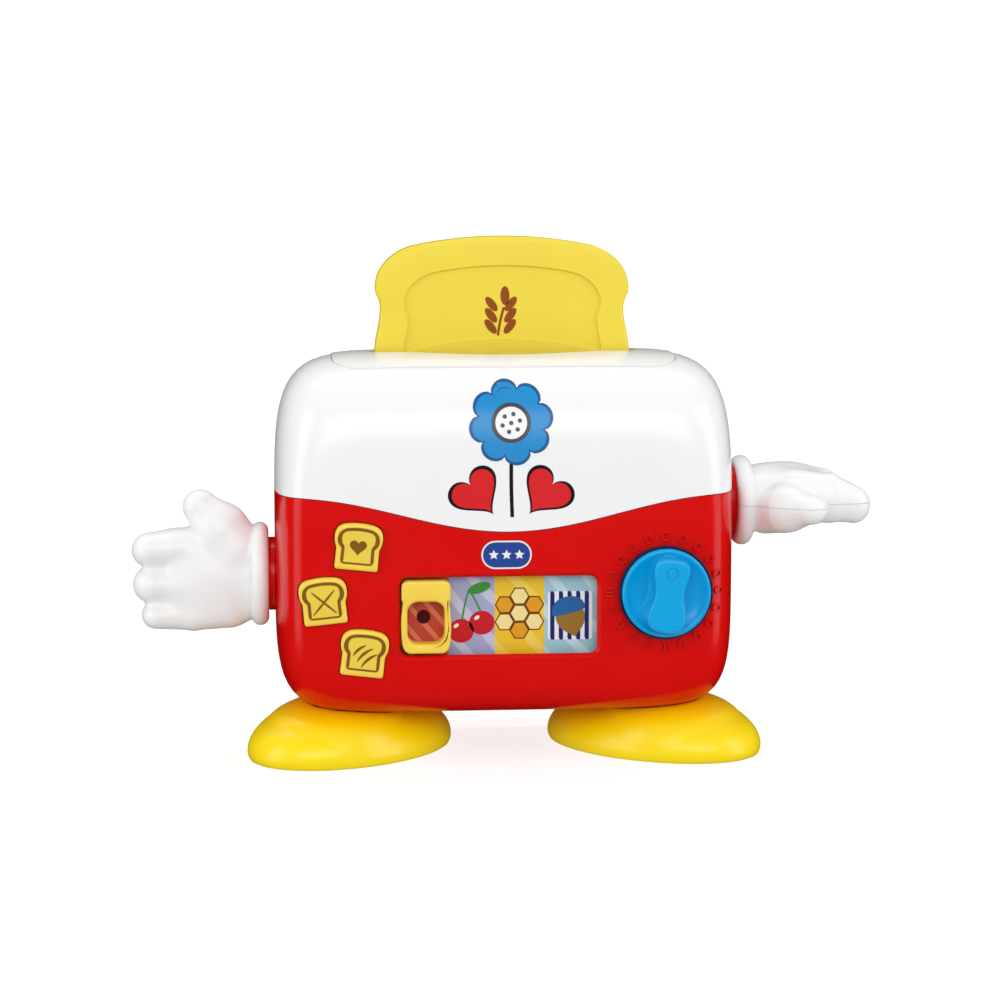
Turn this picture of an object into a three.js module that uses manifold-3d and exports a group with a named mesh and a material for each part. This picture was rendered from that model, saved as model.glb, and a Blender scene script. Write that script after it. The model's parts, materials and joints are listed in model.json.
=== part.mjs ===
import * as THREE from 'three';
import { mergeVertices } from 'three/addons/utils/BufferGeometryUtils.js';
import Module from 'manifold-3d';

// A toy toaster on two shoes, with hands, a springing slice of toast, a dial, push buttons and a selector.
// Millimetres, +Z up, front towards -Y, +X to the viewer's right.

// Common sizes
const GAP = 0.3;
const WALL = 2.4;
const THIN_WALL = 1.8;
const OVERRUN = 30;
const ROUND_SIDES = 16;
const SMALL_SIDES = 8;
const BARREL_SIDES = 12;
const CASING_SIDES = 24;
const CASING_RINGS = 4;
const FINE_SIDES = 36;
const FINE_RINGS = 5;
const DIAL_SIDES = 24;
const FOOT_SIDES = 24;
const FOOT_LEVELS = 4;
const HOLLOW_LEVELS = 2;
const CORNER_STEPS = 2;

// Casing
const BODY_HALF_WIDTH = 102;
const BODY_HALF_HEIGHT = 80;
const BODY_HALF_DEPTH = 46;
const BODY_BOTTOM_Z = 19.5;
const BODY_CENTRE_Z = BODY_BOTTOM_Z + BODY_HALF_HEIGHT;
const CASE_TOP = BODY_CENTRE_Z + BODY_HALF_HEIGHT;
const SIDE_POWER = 8.6;
const TOP_POWER = 4.5;
const BOTTOM_POWER = 6.2;
const FACE_POWER = 2.5;
// Rings on the casing's faces crowd towards the rim by this power.
const RING_CROWDING = 2.2;
const TOP_SWELL = 1;
const BOTTOM_SWELL = 2.15;
const SEAM_MIDDLE_Z = 104;
const SEAM_SIDE_Z = 119.3;
const SEAM_END_MARGIN = 7;
const SEAM_HALF_SPAN = BODY_HALF_WIDTH - SEAM_END_MARGIN;
const SEAM_STEPS = 16;

// Top panel and slot
const PANEL_SIDE_MARGIN = 26;
const PANEL_FACE_MARGIN = 19;
const PANEL_HALF_WIDTH = BODY_HALF_WIDTH - PANEL_SIDE_MARGIN;
const PANEL_HALF_DEPTH = BODY_HALF_DEPTH - PANEL_FACE_MARGIN;
const PANEL_CORNER = 13;
const PANEL_LIP = 3;
const PANEL_FLANGE = 1.8;
const SLOT_CLEARANCE = 2.2;
const SLOT_CORNER = 4;
const DIP_HALF_WIDTH = 46;
const DIP_DEPTH = 7.5;
const DIP_WELL_DEPTH = 14;

// Toast and what carries it
const TOAST_HALF_WIDTH = 57;
const TOAST_SHOWN = 51;
const TOAST_TOP_Z = CASE_TOP + TOAST_SHOWN;
const TOAST_HEIGHT = 102;
const TOAST_THICKNESS = 12;
const TOAST_EDGE = 2.2;
const TOAST_TRAVEL = 46;
const CRUST_WIDTH = 12.8;
const FACE_RECESS = 1.2;
const RECESS_LIFT = 5.2;
const RECESS_END_RADIUS = 171;
const RECESS_END_Z = CASE_TOP + RECESS_LIFT;
const CARRIAGE_THICKNESS = 4;
const TAB_HALF_WIDTH = 2.2;
const CHUTE_FLOOR_Z = 56;
const POST_RADIUS = 2.6;
const POST_HEIGHT = 12.6;
const SPRING_RADIUS = 5;
const SPRING_WIRE = 0.7;
const SPRING_TURNS = 8;
const SPRING_STEPS = 6;
const SPRING_SIDES = 4;

// Window, picture card and selector
const BUTTON_ZONE = 54;
const DIAL_ZONE = 63.7;
const WINDOW_LEFT = BUTTON_ZONE - BODY_HALF_WIDTH;
const WINDOW_RIGHT = BODY_HALF_WIDTH - DIAL_ZONE;
const WINDOW_BOTTOM = 49.8;
const WINDOW_TOP = 84.2;
const WINDOW_CORNER = 3.4;
const WINDOW_BEVEL = 2.6;
const CARD_SETBACK = 7;
const CARD_FRONT_Y = CARD_SETBACK - BODY_HALF_DEPTH;
const CARD_THICKNESS = 1;
const CARD_MARGIN = 2.4;
const SELECTOR_WIDTH = 21.8;
const SELECTOR_SIDE_GAP = 0.35;
const SELECTOR_X = WINDOW_LEFT + SELECTOR_SIDE_GAP + SELECTOR_WIDTH / 2;
const SELECTOR_HEIGHT = 32;
const SELECTOR_PROUD = 1.9;
const SELECTOR_EDGE = 1.1;
const SELECTOR_FLANGE = 1.6;
const FLANGE_REACH = 3.2;

// Bread buttons
const BUTTON_SIZE = 21.4;
const BUTTON_PROUD = 2.6;
const BUTTON_DEPTH = 4.4;
const BUTTON_CLEARANCE = 0.45;
const BUTTON_FLANGE = 1.1;
const BUTTON_TRAVEL = 2.2;
const BUTTON_STEM = 3;
const UPPER_BUTTON_FROM_SIDE = 35.8;
const UPPER_BUTTON_Z = 98.4;
const MIDDLE_BUTTON_FROM_SIDE = 20.8;
const MIDDLE_BUTTON_Z = 74.7;
const LOWER_BUTTON_FROM_SIDE = 38.1;
const LOWER_BUTTON_Z = 51.6;
const BUTTONS = [
  { name: 'upper', x: UPPER_BUTTON_FROM_SIDE - BODY_HALF_WIDTH, z: UPPER_BUTTON_Z, tilt: -6 },
  { name: 'middle', x: MIDDLE_BUTTON_FROM_SIDE - BODY_HALF_WIDTH, z: MIDDLE_BUTTON_Z, tilt: 6 },
  { name: 'lower', x: LOWER_BUTTON_FROM_SIDE - BODY_HALF_WIDTH, z: LOWER_BUTTON_Z, tilt: -7 },
];

// Dial
const KNOB_FROM_SIDE = 33.9;
const KNOB_X = BODY_HALF_WIDTH - KNOB_FROM_SIDE;
const KNOB_Z = 76.8;
const KNOB_RADIUS = 20.2;
const KNOB_RIM_HEIGHT = 4;
const KNOB_RIM_WIDTH = 2;
const KNOB_DISH = 2.6;
const KNOB_TILT = -6.5;
const GRIP_HEIGHT = 9;
const GRIP_LENGTH = 32.4;
const GRIP_HALF_WIDTH = 8.1;
const GRIP_WAIST = 6.6;
const GRIP_DRAFT = 1.1;
const SHAFT_RADIUS = 3.6;
const SPIGOT_RADIUS = 2.6;
const CLICK_RADIUS = 9;
const CLICK_TEETH = 20;
const CLICK_TOOTH = 0.8;
const CLICK_WIDTH = 2.6;

// Front board
const BOARD_BEHIND_CARD = 6;
const BOARD_FRONT_Y = CARD_FRONT_Y + BOARD_BEHIND_CARD;
const BOARD_THICKNESS = 1.6;
const BOARD_SIDE_MARGIN = 16;
const BOARD_HALF_WIDTH = BODY_HALF_WIDTH - BOARD_SIDE_MARGIN;
const BOARD_BOTTOM = 40;
const BOARD_TOP = 103;
const PAD_THICKNESS = 0.9;
const PAD_RIM = 1.2;

// Hands
const LEFT_WRIST_Z = 80;
const RIGHT_WRIST_Z = 111;
const WRIST_X = BODY_HALF_WIDTH + GAP;
const HUB_RADIUS = 16.4;
const HUB_LENGTH = 2.1;
const AXLE_RADIUS = 6;
const WASHER_RADIUS = 10;
const WASHER_SETBACK = 2.3;
const CUFF_LENGTH = 7.8;
const CUFF_HALF_WIDTH = 23.3;
const CUFF_HALF_THICKNESS = 20.3;
const GLOVE_WALL = 2.2;

// Shoes
const FOOT_FROM_SIDE = 33.3;
const FOOT_X = BODY_HALF_WIDTH - FOOT_FROM_SIDE;
const FOOT_Y = -4;
const FOOT_HALF_LENGTH = 53.6;
const FOOT_HALF_WIDTH = 37;
const FOOT_HEIGHT = 25.9;
const FOOT_TURN = 44;
const FOOT_POWER = 2.03;
const FOOT_RIM_Z = 3.7;
// Sizes and heights of the rounded lower edge, as shares of the outline and of the rim's height.
const FOOT_EDGE_SHARES = [[0.965, 0], [0.99, 0.35]];
const FOOT_CROWN_SHARE = 0.93;
const SOLE_THICKNESS = 2;
const FOOT_PEG_RADIUS = 5;
const PEG_FROM_SIDE = 38;
const PEG_X = BODY_HALF_WIDTH - PEG_FROM_SIDE;
const PEG_Y = -12;
const PEG_BORE_Z = 12.5;

// Battery bay
const CELL_RADIUS = 7.2;
const CELL_LENGTH = 50.5;
const CELL_PITCH = 15.6;
const CELL_NUB = 1.5;
const CELL_SIDE_ROOM = 1;
const CELL_COUNT = 3;
const CELL_BOTTOM_Z = 34;
const CONTACT_THICKNESS = 0.5;
const DOOR_HALF_WIDTH = 29;
const DOOR_BOTTOM = 31;
const DOOR_TOP = 98;
const DOOR_CORNER = 4;
const DOOR_SCREW_TIP = 14;

// Speaker and switch
const SPEAKER_FROM_SIDE = 38;
const SPEAKER_X = BODY_HALF_WIDTH - SPEAKER_FROM_SIDE;
const SPEAKER_Z = 64;
const SPEAKER_RADIUS = 20;
const SPEAKER_DEPTH = 15;
const SPEAKER_RIM = 3;
const SPEAKER_SHEET = 1;
const MAGNET_DEPTH = 5;
const GRILLE_SLOTS = 7;
const GRILLE_PITCH = 4.6;
const GRILLE_SLOT = 2;
const GRILLE_CORNER_SHARE = 5 / 11;
const SWITCH_FROM_SIDE = 40;
const SWITCH_X = SWITCH_FROM_SIDE - BODY_HALF_WIDTH;
const SWITCH_Z = 64;
const SWITCH_TRAVEL = 4;
const SWITCH_LENGTH = 6;
const SWITCH_HEIGHT = 5;
const SWITCH_PROUD = 1;
const SWITCH_LIP = 1;
const SWITCH_WALL = 2;
const SWITCH_BASE = 6;

// Main board behind the chute
const MAIN_BOARD_BOTTOM = 104;
const MAIN_BOARD_DROP = 27.5;
const MAIN_BOARD_TOP = CASE_TOP - MAIN_BOARD_DROP;
const MAIN_BOARD_MARGIN = 7;
const MAIN_BOARD_HALF_WIDTH = TOAST_HALF_WIDTH - MAIN_BOARD_MARGIN;
const MAIN_BOARD_POST = 2;
const CHIP_HALF_WIDTH = 12;
const CHIP_BOTTOM_SHARE = 1 / 3;
const CHIP_TOP_SHARE = 17 / 24;
const CHIP_HEIGHT = 3;
const CAPACITOR_X = -32;
const CAPACITOR_SHARE = 13 / 24;
const CAPACITOR_RADIUS = 4;
const CAPACITOR_HEIGHT = 9;
const SOCKET_LEFT = 24;
const SOCKET_RIGHT = 42;
const SOCKET_BOTTOM_SHARE = 1 / 6;
const SOCKET_TOP_SHARE = 7 / 24;
const SOCKET_HEIGHT = 6;

// Screws
const SCREW_RADIUS = 1.4;
const SCREW_CORE_RADIUS = 0.8;
const SCREW_HEAD_RADIUS = 3;
const SCREW_HEAD = 2;
const BOSS_RADIUS = 4;
const UPPER_SCREW_FROM_SIDE = 18;
const UPPER_SCREW_DROP = 3.4;
const LOWER_SCREW_FROM_SIDE = 16;
const LOWER_SCREW_RISE = 22.5;
const UPPER_SCREW_X = BODY_HALF_WIDTH - UPPER_SCREW_FROM_SIDE;
const UPPER_SCREW_Z = (SEAM_SIDE_Z + CASE_TOP) / 2 - UPPER_SCREW_DROP;
const LOWER_SCREW_X = BODY_HALF_WIDTH - LOWER_SCREW_FROM_SIDE;
const LOWER_SCREW_Z = BODY_BOTTOM_Z + LOWER_SCREW_RISE;
const CASE_SCREWS = [
  { name: 'upper_left', x: -UPPER_SCREW_X, z: UPPER_SCREW_Z },
  { name: 'upper_right', x: UPPER_SCREW_X, z: UPPER_SCREW_Z },
  { name: 'lower_left', x: -LOWER_SCREW_X, z: LOWER_SCREW_Z },
  { name: 'lower_right', x: LOWER_SCREW_X, z: LOWER_SCREW_Z },
];

const RED = { color: 0xc80000, roughness: 0.25, metalness: 0 };
const WHITE = { color: 0xf4f4f4, roughness: 0.25, metalness: 0 };
const TOAST_YELLOW = { color: 0xf5dc3c, roughness: 0.4, metalness: 0 };
const SHOE_YELLOW = { color: 0xffd400, roughness: 0.25, metalness: 0 };
const BLUE = { color: 0x00a9e8, roughness: 0.25, metalness: 0 };
const NAVY = { color: 0x0a1a50, roughness: 0.4, metalness: 0 };
const GREY_PLASTIC = { color: 0x9a9a9a, roughness: 0.5, metalness: 0 };
const CARD = { color: 0xa9a9d0, roughness: 0.6, metalness: 0 };
const BOARD = { color: 0x2c6a3a, roughness: 0.5, metalness: 0 };
const RUBBER = { color: 0x3a3a3a, roughness: 0.8, metalness: 0 };
const STEEL = { color: 0xc0c0c0, roughness: 0.3, metalness: 1 };
const BRASS = { color: 0xc9a24a, roughness: 0.3, metalness: 1 };
const CELL_GREEN = { color: 0x2f7d4f, roughness: 0.4, metalness: 0.2 };

const wasm = await Module();
wasm.setup();

const object = new THREE.Group();
const ALONG_Y = new THREE.Matrix4().makeRotationX(Math.PI / 2);

// Solids and their joining

function solidOf(geometry, matrix) {
  const bare = geometry.clone();
  bare.deleteAttribute('normal');
  bare.deleteAttribute('uv');
  if (matrix) bare.applyMatrix4(matrix);
  const merged = mergeVertices(bare);
  const triVerts = new Uint32Array(merged.index.array);
  if (matrix && matrix.determinant() < 0) flipFaces(triVerts);
  const vertProperties = new Float32Array(merged.attributes.position.array);
  return new wasm.Manifold(new wasm.Mesh({ numProp: 3, vertProperties, triVerts }));
}

function flipFaces(triVerts) {
  for (let i = 0; i < triVerts.length; i += 3) {
    [triVerts[i], triVerts[i + 1]] = [triVerts[i + 1], triVerts[i]];
  }
}

function joined(...solids) {
  return solids.reduce((sum, next) => sum.add(next));
}

function without(solid, ...cuts) {
  return cuts.reduce((rest, cut) => rest.subtract(cut), solid);
}

function geometryOf(solid) {
  const made = solid.getMesh();
  const geometry = new THREE.BufferGeometry();
  geometry.setAttribute('position', new THREE.BufferAttribute(new Float32Array(made.vertProperties), 3));
  geometry.setIndex(new THREE.BufferAttribute(new Uint32Array(made.triVerts), 1));
  return geometry;
}

function addPiece(name, solid, look, group = object) {
  const mesh = new THREE.Mesh(geometryOf(solid), new THREE.MeshStandardMaterial(look));
  mesh.name = name;
  group.add(mesh);
  return mesh;
}

// Basic forms: prisms along each axis, turned rods along Y and X, and blocks

function prismAlongZ(shape, bottom, top) {
  const geometry = new THREE.ExtrudeGeometry(shape, { depth: top - bottom, bevelEnabled: false });
  return solidOf(geometry, new THREE.Matrix4().makeTranslation(0, 0, bottom));
}

function prismAlongY(shape, front, back, bevel = 0) {
  const settings = { depth: back - front - 2 * bevel, bevelEnabled: bevel > 0 };
  if (bevel > 0) Object.assign(settings, {
    bevelThickness: bevel, bevelSize: bevel, bevelOffset: -bevel, bevelSegments: 1,
  });
  const place = new THREE.Matrix4().makeTranslation(0, back - bevel, 0).multiply(ALONG_Y);
  return solidOf(new THREE.ExtrudeGeometry(shape, settings), place);
}

function block(x0, x1, y0, y1, z0, z1) {
  const geometry = new THREE.BoxGeometry(x1 - x0, y1 - y0, z1 - z0);
  return solidOf(geometry, new THREE.Matrix4().makeTranslation((x0 + x1) / 2, (y0 + y1) / 2, (z0 + z1) / 2));
}

function lathed(profile, sides) {
  const points = profile.map(([radius, height]) => new THREE.Vector2(radius, height));
  return new THREE.LatheGeometry(points, sides);
}

// The profile's heights run from the front backwards.
function turnedAlongY(profile, x, z, sides = ROUND_SIDES) {
  const turn = new THREE.Matrix4().makeTranslation(x, 0, z);
  return solidOf(lathed(profile, sides), turn);
}

function rodAlongY(radius, front, back, x, z, sides = ROUND_SIDES) {
  return turnedAlongY([[0, front], [radius, front], [radius, back], [0, back]], x, z, sides);
}

function turnedAlongX(profile, y, z, sides = ROUND_SIDES) {
  const upright = new THREE.Matrix4().makeRotationZ(-Math.PI / 2);
  const turn = new THREE.Matrix4().makeTranslation(0, y, z).multiply(upright);
  return solidOf(lathed(profile, sides), turn);
}

function rodAlongX(radius, left, right, y, z, sides = ROUND_SIDES) {
  return turnedAlongX([[0, left], [radius, left], [radius, right], [0, right]], y, z, sides);
}

function rodAlongZ(radius, bottom, top, x, y, sides = ROUND_SIDES) {
  const turn = new THREE.Matrix4().makeTranslation(x, y, 0).multiply(ALONG_Y);
  return solidOf(lathed([[0, bottom], [radius, bottom], [radius, top], [0, top]], sides), turn);
}

function roundedRectangle(x0, x1, y0, y1, radius, steps = CORNER_STEPS) {
  const shape = new THREE.Shape();
  shape.moveTo(x0 + radius, y0);
  shape.lineTo(x1 - radius, y0);
  shape.absarc(x1 - radius, y0 + radius, radius, -Math.PI / 2, 0);
  shape.lineTo(x1, y1 - radius);
  shape.absarc(x1 - radius, y1 - radius, radius, 0, Math.PI / 2);
  shape.lineTo(x0 + radius, y1);
  shape.absarc(x0 + radius, y1 - radius, radius, Math.PI / 2, Math.PI);
  shape.lineTo(x0, y0 + radius);
  shape.absarc(x0 + radius, y0 + radius, radius, Math.PI, 1.5 * Math.PI);
  return sampled(shape, steps);
}

// The same outline as straight steps, so that prisms of it stay light.
function sampled(shape, steps) {
  const points = [];
  for (const point of shape.getPoints(steps)) {
    const last = points[points.length - 1];
    if (!last || last.distanceTo(point) > GAP / 10) points.push(point);
  }
  if (points[0].distanceTo(points[points.length - 1]) < GAP / 10) points.pop();
  return new THREE.Shape(points);
}

function placedShape(shape, x, y, degrees = 0) {
  const turn = THREE.MathUtils.degToRad(degrees);
  const centre = new THREE.Vector2(0, 0);
  const place = new THREE.Vector2(x, y);
  return new THREE.Shape(shape.getPoints().map((p) => p.clone().rotateAround(centre, turn).add(place)));
}

// A closed skin through rings of points, with a flat fan at each end.
function skinned(rings) {
  const sides = rings[0].length;
  const positions = rings.flat().flatMap((p) => [p.x, p.y, p.z]);
  const index = [];
  for (let ring = 0; ring + 1 < rings.length; ring += 1) {
    for (let side = 0; side < sides; side += 1) {
      const next = (side + 1) % sides;
      const [a, b] = [ring * sides + side, ring * sides + next];
      const [c, d] = [a + sides, b + sides];
      index.push(a, b, d, a, d, c);
    }
  }
  for (const [ring, first] of [[rings[0], 0], [rings[rings.length - 1], (rings.length - 1) * sides]]) {
    const middle = positions.length / 3;
    const centre = ring.reduce((sum, p) => sum.add(p), new THREE.Vector3()).divideScalar(sides);
    positions.push(centre.x, centre.y, centre.z);
    for (let side = 0; side < sides; side += 1) {
      const next = (side + 1) % sides;
      if (first === 0) index.push(middle, first + next, first + side);
      else index.push(middle, first + side, first + next);
    }
  }
  const geometry = new THREE.BufferGeometry();
  geometry.setAttribute('position', new THREE.Float32BufferAttribute(positions, 3));
  geometry.setIndex(index);
  return geometry;
}

// A symmetric outline from its right half, which runs from the bottom middle to the top middle.
function mirrored(shape, steps) {
  const right = sampled(shape, steps).getPoints();
  const left = right.slice(1, -1).reverse().map((p) => new THREE.Vector2(-p.x, p.y));
  return new THREE.Shape([...right, ...left]);
}

// Casing surface

function signedPower(value, power) {
  return Math.sign(value) * Math.abs(value) ** power;
}

// The casing's swollen box: depth over a place on its front view, seen as shares of its half sizes.
function faceDepth(xShare, zShare, halfDepth) {
  const upright = Math.abs(zShare) ** (zShare > 0 ? TOP_POWER : BOTTOM_POWER);
  const fullness = Math.abs(xShare) ** SIDE_POWER + upright;
  const height = Math.min(Math.max(zShare, 0), 1);
  const swell = BOTTOM_SWELL + (TOP_SWELL - BOTTOM_SWELL) * height * height * (3 - 2 * height);
  return halfDepth * Math.max(1 - fullness ** swell, 0) ** (1 / FACE_POWER);
}

// The casing's solid, smaller all round by the inset.
function casing(inset, sides = CASING_SIDES, rings = CASING_RINGS) {
  const halfWidth = BODY_HALF_WIDTH - inset;
  const halfHeight = BODY_HALF_HEIGHT - inset;
  const halfDepth = BODY_HALF_DEPTH - inset;
  const positions = [];
  const index = [];
  const addPoint = (xShare, zShare, facing) => positions.push(
    xShare * halfWidth, facing * faceDepth(xShare, zShare, halfDepth), BODY_CENTRE_Z + zShare * halfHeight);
  const edgeShares = (side) => {
    const turn = (2 * Math.PI * side) / sides;
    const power = Math.sin(turn) > 0 ? TOP_POWER : BOTTOM_POWER;
    return [signedPower(Math.cos(turn), 2 / SIDE_POWER), signedPower(Math.sin(turn), 2 / power)];
  };
  for (let side = 0; side < sides; side += 1) {
    const [x, z] = edgeShares(side);
    positions.push(x * halfWidth, 0, BODY_CENTRE_Z + z * halfHeight);
  }
  for (const facing of [-1, 1]) {
    const start = positions.length / 3;
    for (let ring = 1; ring < rings; ring += 1) {
      const share = 1 - (ring / rings) ** RING_CROWDING;
      for (let side = 0; side < sides; side += 1) {
        const [x, z] = edgeShares(side);
        addPoint(x * share, z * share, facing);
      }
    }
    const middle = positions.length / 3;
    addPoint(0, 0, facing);
    const at = (ring, side) => (ring === 0 ? side : start + (ring - 1) * sides + side);
    const face = (a, b, c) => (facing < 0 ? index.push(a, b, c) : index.push(a, c, b));
    for (let side = 0; side < sides; side += 1) {
      const next = (side + 1) % sides;
      for (let ring = 0; ring + 1 < rings; ring += 1) {
        face(at(ring, side), at(ring, next), at(ring + 1, next));
        face(at(ring, side), at(ring + 1, next), at(ring + 1, side));
      }
      face(at(rings - 1, side), at(rings - 1, next), middle);
    }
  }
  const geometry = new THREE.BufferGeometry();
  geometry.setAttribute('position', new THREE.Float32BufferAttribute(positions, 3));
  geometry.setIndex(index);
  return solidOf(geometry);
}

function seamHeight(x) {
  const share = Math.min(Math.abs(x) / SEAM_HALF_SPAN, 1);
  return SEAM_MIDDLE_Z + (SEAM_SIDE_Z - SEAM_MIDDLE_Z) * (1 - Math.cos(Math.PI * share)) / 2;
}

// What lies above or below the seam, as a prism along Y: wavy in front, straight behind.
function besideSeam(above, front, back, wavy) {
  const reach = BODY_HALF_WIDTH + OVERRUN;
  const end = BODY_CENTRE_Z + (above ? 1 : -1) * (BODY_HALF_HEIGHT + OVERRUN);
  const shift = (above ? GAP : -GAP) / 2;
  const points = [new THREE.Vector2(-reach, end), new THREE.Vector2(-reach, SEAM_SIDE_Z + shift)];
  for (let step = 0; wavy && step <= SEAM_STEPS; step += 1) {
    const x = SEAM_HALF_SPAN * (2 * step / SEAM_STEPS - 1);
    points.push(new THREE.Vector2(x, seamHeight(x) + shift));
  }
  points.push(new THREE.Vector2(reach, SEAM_SIDE_Z + shift), new THREE.Vector2(reach, end));
  return prismAlongY(new THREE.Shape(points), front, back);
}

const OUTSIDE = casing(0, FINE_SIDES, FINE_RINGS);
const INSIDE = casing(WALL);
const MIDWALL = casing(WALL / 2);
const SHELL = OUTSIDE.subtract(INSIDE);
const CLEAR_INSIDE = casing(WALL + GAP);
const DEPTH_REACH = BODY_HALF_DEPTH + OVERRUN;

function shellPart(above, front) {
  const [near, far] = front ? [-DEPTH_REACH, -GAP / 2] : [GAP / 2, DEPTH_REACH];
  return SHELL.intersect(besideSeam(above, near, far, front));
}

// Outlines that several pieces share

// A slice of bread: straight sides, a waist and two lobes under a low crown. Its foot is at height 0.
// Each row is a curve's two pulls and its end, as shares of the half width and of the height.
const BREAD_SHARES = [
  [1, 0.56, 0.951, 0.62, 0.951, 0.69],
  [0.951, 0.725, 0.992, 0.74, 0.992, 0.775],
  [0.992, 0.87, 0.86, 0.93, 0.72, 0.957],
  [0.5, 0.985, 0.25, 1, 0, 1],
];
const BREAD_SIDE_SHARE = 0.47;
const BREAD_FOOT_SHARE = 0.1;

function breadOutline(halfWidth, height, grow = 0, steps = 3) {
  const w = halfWidth + grow;
  const h = height + 2 * grow;
  const foot = BREAD_FOOT_SHARE * w;
  const shape = new THREE.Shape();
  shape.moveTo(0, -grow);
  shape.lineTo(w - foot, -grow);
  shape.quadraticCurveTo(w, -grow, w, foot - grow);
  shape.lineTo(w, BREAD_SIDE_SHARE * h - grow);
  for (const [ax, ay, bx, by, x, y] of BREAD_SHARES) {
    shape.bezierCurveTo(ax * w, ay * h - grow, bx * w, by * h - grow, x * w, y * h - grow);
  }
  return mirrored(shape, steps);
}

function toastOutline(grow = 0) {
  const foot = TOAST_TOP_Z - TOAST_HEIGHT;
  return placedShape(breadOutline(TOAST_HALF_WIDTH, TOAST_HEIGHT, grow), 0, foot);
}

function buttonOutline(button, grow = 0) {
  const outline = breadOutline(BUTTON_SIZE / 2, BUTTON_SIZE, grow, 2);
  const centred = placedShape(outline, 0, -BUTTON_SIZE / 2);
  return placedShape(centred, button.x, button.z, button.tilt);
}

// Slot seen from above, with the finger dip in its front edge.
function slotOutline(grow, dip) {
  const halfWidth = TOAST_HALF_WIDTH + SLOT_CLEARANCE + grow;
  const halfDepth = TOAST_THICKNESS / 2 + SLOT_CLEARANCE + grow;
  const slot = roundedRectangle(-halfWidth, halfWidth, -halfDepth, halfDepth, SLOT_CORNER);
  const lens = new THREE.Shape();
  const dipWidth = DIP_HALF_WIDTH + grow;
  lens.moveTo(-dipWidth, -halfDepth + GAP);
  lens.quadraticCurveTo(0, -halfDepth - 2 * DIP_DEPTH, dipWidth, -halfDepth + GAP);
  return dip ? [slot, sampled(lens, SMALL_SIDES)] : [slot];
}

function slotSolid(grow, dip, bottom, top) {
  return joined(...slotOutline(grow, dip).map((shape) => prismAlongZ(shape, bottom, top)));
}

// Casing pieces

const PANEL_FLOOR_Z = BODY_CENTRE_Z + BODY_HALF_HEIGHT / 2;
const AXLE_CLEARANCE = 0.3;

function panelOutline(grow) {
  const halfWidth = PANEL_HALF_WIDTH + grow;
  const halfDepth = PANEL_HALF_DEPTH + grow;
  return roundedRectangle(-halfWidth, halfWidth, -halfDepth, halfDepth, PANEL_CORNER + grow);
}

function windowCut() {
  const outline = (grow) => roundedRectangle(
    WINDOW_LEFT - grow, WINDOW_RIGHT + grow, WINDOW_BOTTOM - grow, WINDOW_TOP + grow, WINDOW_CORNER + grow);
  const ring = (grow, y) => outline(grow).getPoints().map((p) => new THREE.Vector3(p.x, y, p.y));
  const slopeStart = -BODY_HALF_DEPTH + WALL / 2;
  const reach = 2 * WINDOW_BEVEL;
  const slope = skinned([ring(0, slopeStart), ring(reach, slopeStart - reach)]);
  return joined(solidOf(slope), prismAlongY(outline(0), -DEPTH_REACH, CARD_FRONT_Y));
}

function axleCuts(grow) {
  return [[-1, LEFT_WRIST_Z], [1, RIGHT_WRIST_Z]].map(([side, z]) => {
    const ends = [side * (WRIST_X - OVERRUN), side * (WRIST_X + OVERRUN)].sort((a, b) => a - b);
    return rodAlongX(AXLE_RADIUS + grow, ends[0], ends[1], 0, z);
  });
}

function caseBoss(place) {
  return rodAlongY(BOSS_RADIUS, -BODY_HALF_DEPTH, -GAP / 2, place.x, place.z, SMALL_SIDES)
    .intersect(MIDWALL);
}

function caseTube(place) {
  const tube = rodAlongY(BOSS_RADIUS, GAP / 2, BODY_HALF_DEPTH, place.x, place.z, SMALL_SIDES);
  return tube.intersect(MIDWALL);
}

const CASE_SCREW_HEAD_Y = BODY_HALF_DEPTH / 2;
const CASE_SCREW_TIP_Y = -BODY_HALF_DEPTH / 4;

function caseScrewCuts({ x, z }) {
  const hole = rodAlongY(SCREW_RADIUS + GAP, CASE_SCREW_TIP_Y - WALL, DEPTH_REACH, x, z, SMALL_SIDES);
  const well = rodAlongY(SCREW_HEAD_RADIUS + GAP / 2, CASE_SCREW_HEAD_Y, DEPTH_REACH, x, z, SMALL_SIDES);
  return hole.add(well);
}

function addCaseScrews() {
  for (const place of CASE_SCREWS) {
    const head = CASE_SCREW_HEAD_Y + GAP;
    addPiece(`case_screw_${place.name}`, screwAlongY(place, CASE_SCREW_TIP_Y, head), STEEL);
  }
}

// A screw whose head looks backwards; its cross recess is cut into the head.
function screwAlongY(place, tip, headFront) {
  const profile = [[0, tip], [SCREW_RADIUS, tip + SCREW_RADIUS], [SCREW_RADIUS, headFront],
    [SCREW_HEAD_RADIUS, headFront], [SCREW_HEAD_RADIUS, headFront + SCREW_HEAD / 2],
    [SCREW_HEAD_RADIUS / 2, headFront + SCREW_HEAD], [0, headFront + SCREW_HEAD]];
  return turnedAlongY(profile, place.x, place.z, SMALL_SIDES);
}

function addUpperShells() {
  const opening = prismAlongZ(panelOutline(GAP), PANEL_FLOOR_Z, CASE_TOP + OVERRUN);
  const places = CASE_SCREWS.slice(0, 2);
  const bosses = places.map(caseBoss);
  const tubes = places.map(caseTube);
  const cuts = places.map(caseScrewCuts);
  const front = joined(shellPart(true, true), ...bosses);
  addPiece('front_upper_shell', without(front, opening, ...cuts), WHITE);
  const rear = joined(shellPart(true, false), ...tubes);
  addPiece('rear_upper_shell', without(rear, opening, ...cuts), WHITE);
}

function boardPost(x, z) {
  const post = rodAlongY(BUTTON_STEM, -BODY_HALF_DEPTH, BOARD_FRONT_Y - GAP, x, z, SMALL_SIDES);
  return post.intersect(MIDWALL);
}

const CARD_LEFT = WINDOW_LEFT - CARD_MARGIN;
const CARD_RIGHT = WINDOW_RIGHT + CARD_MARGIN;

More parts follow.
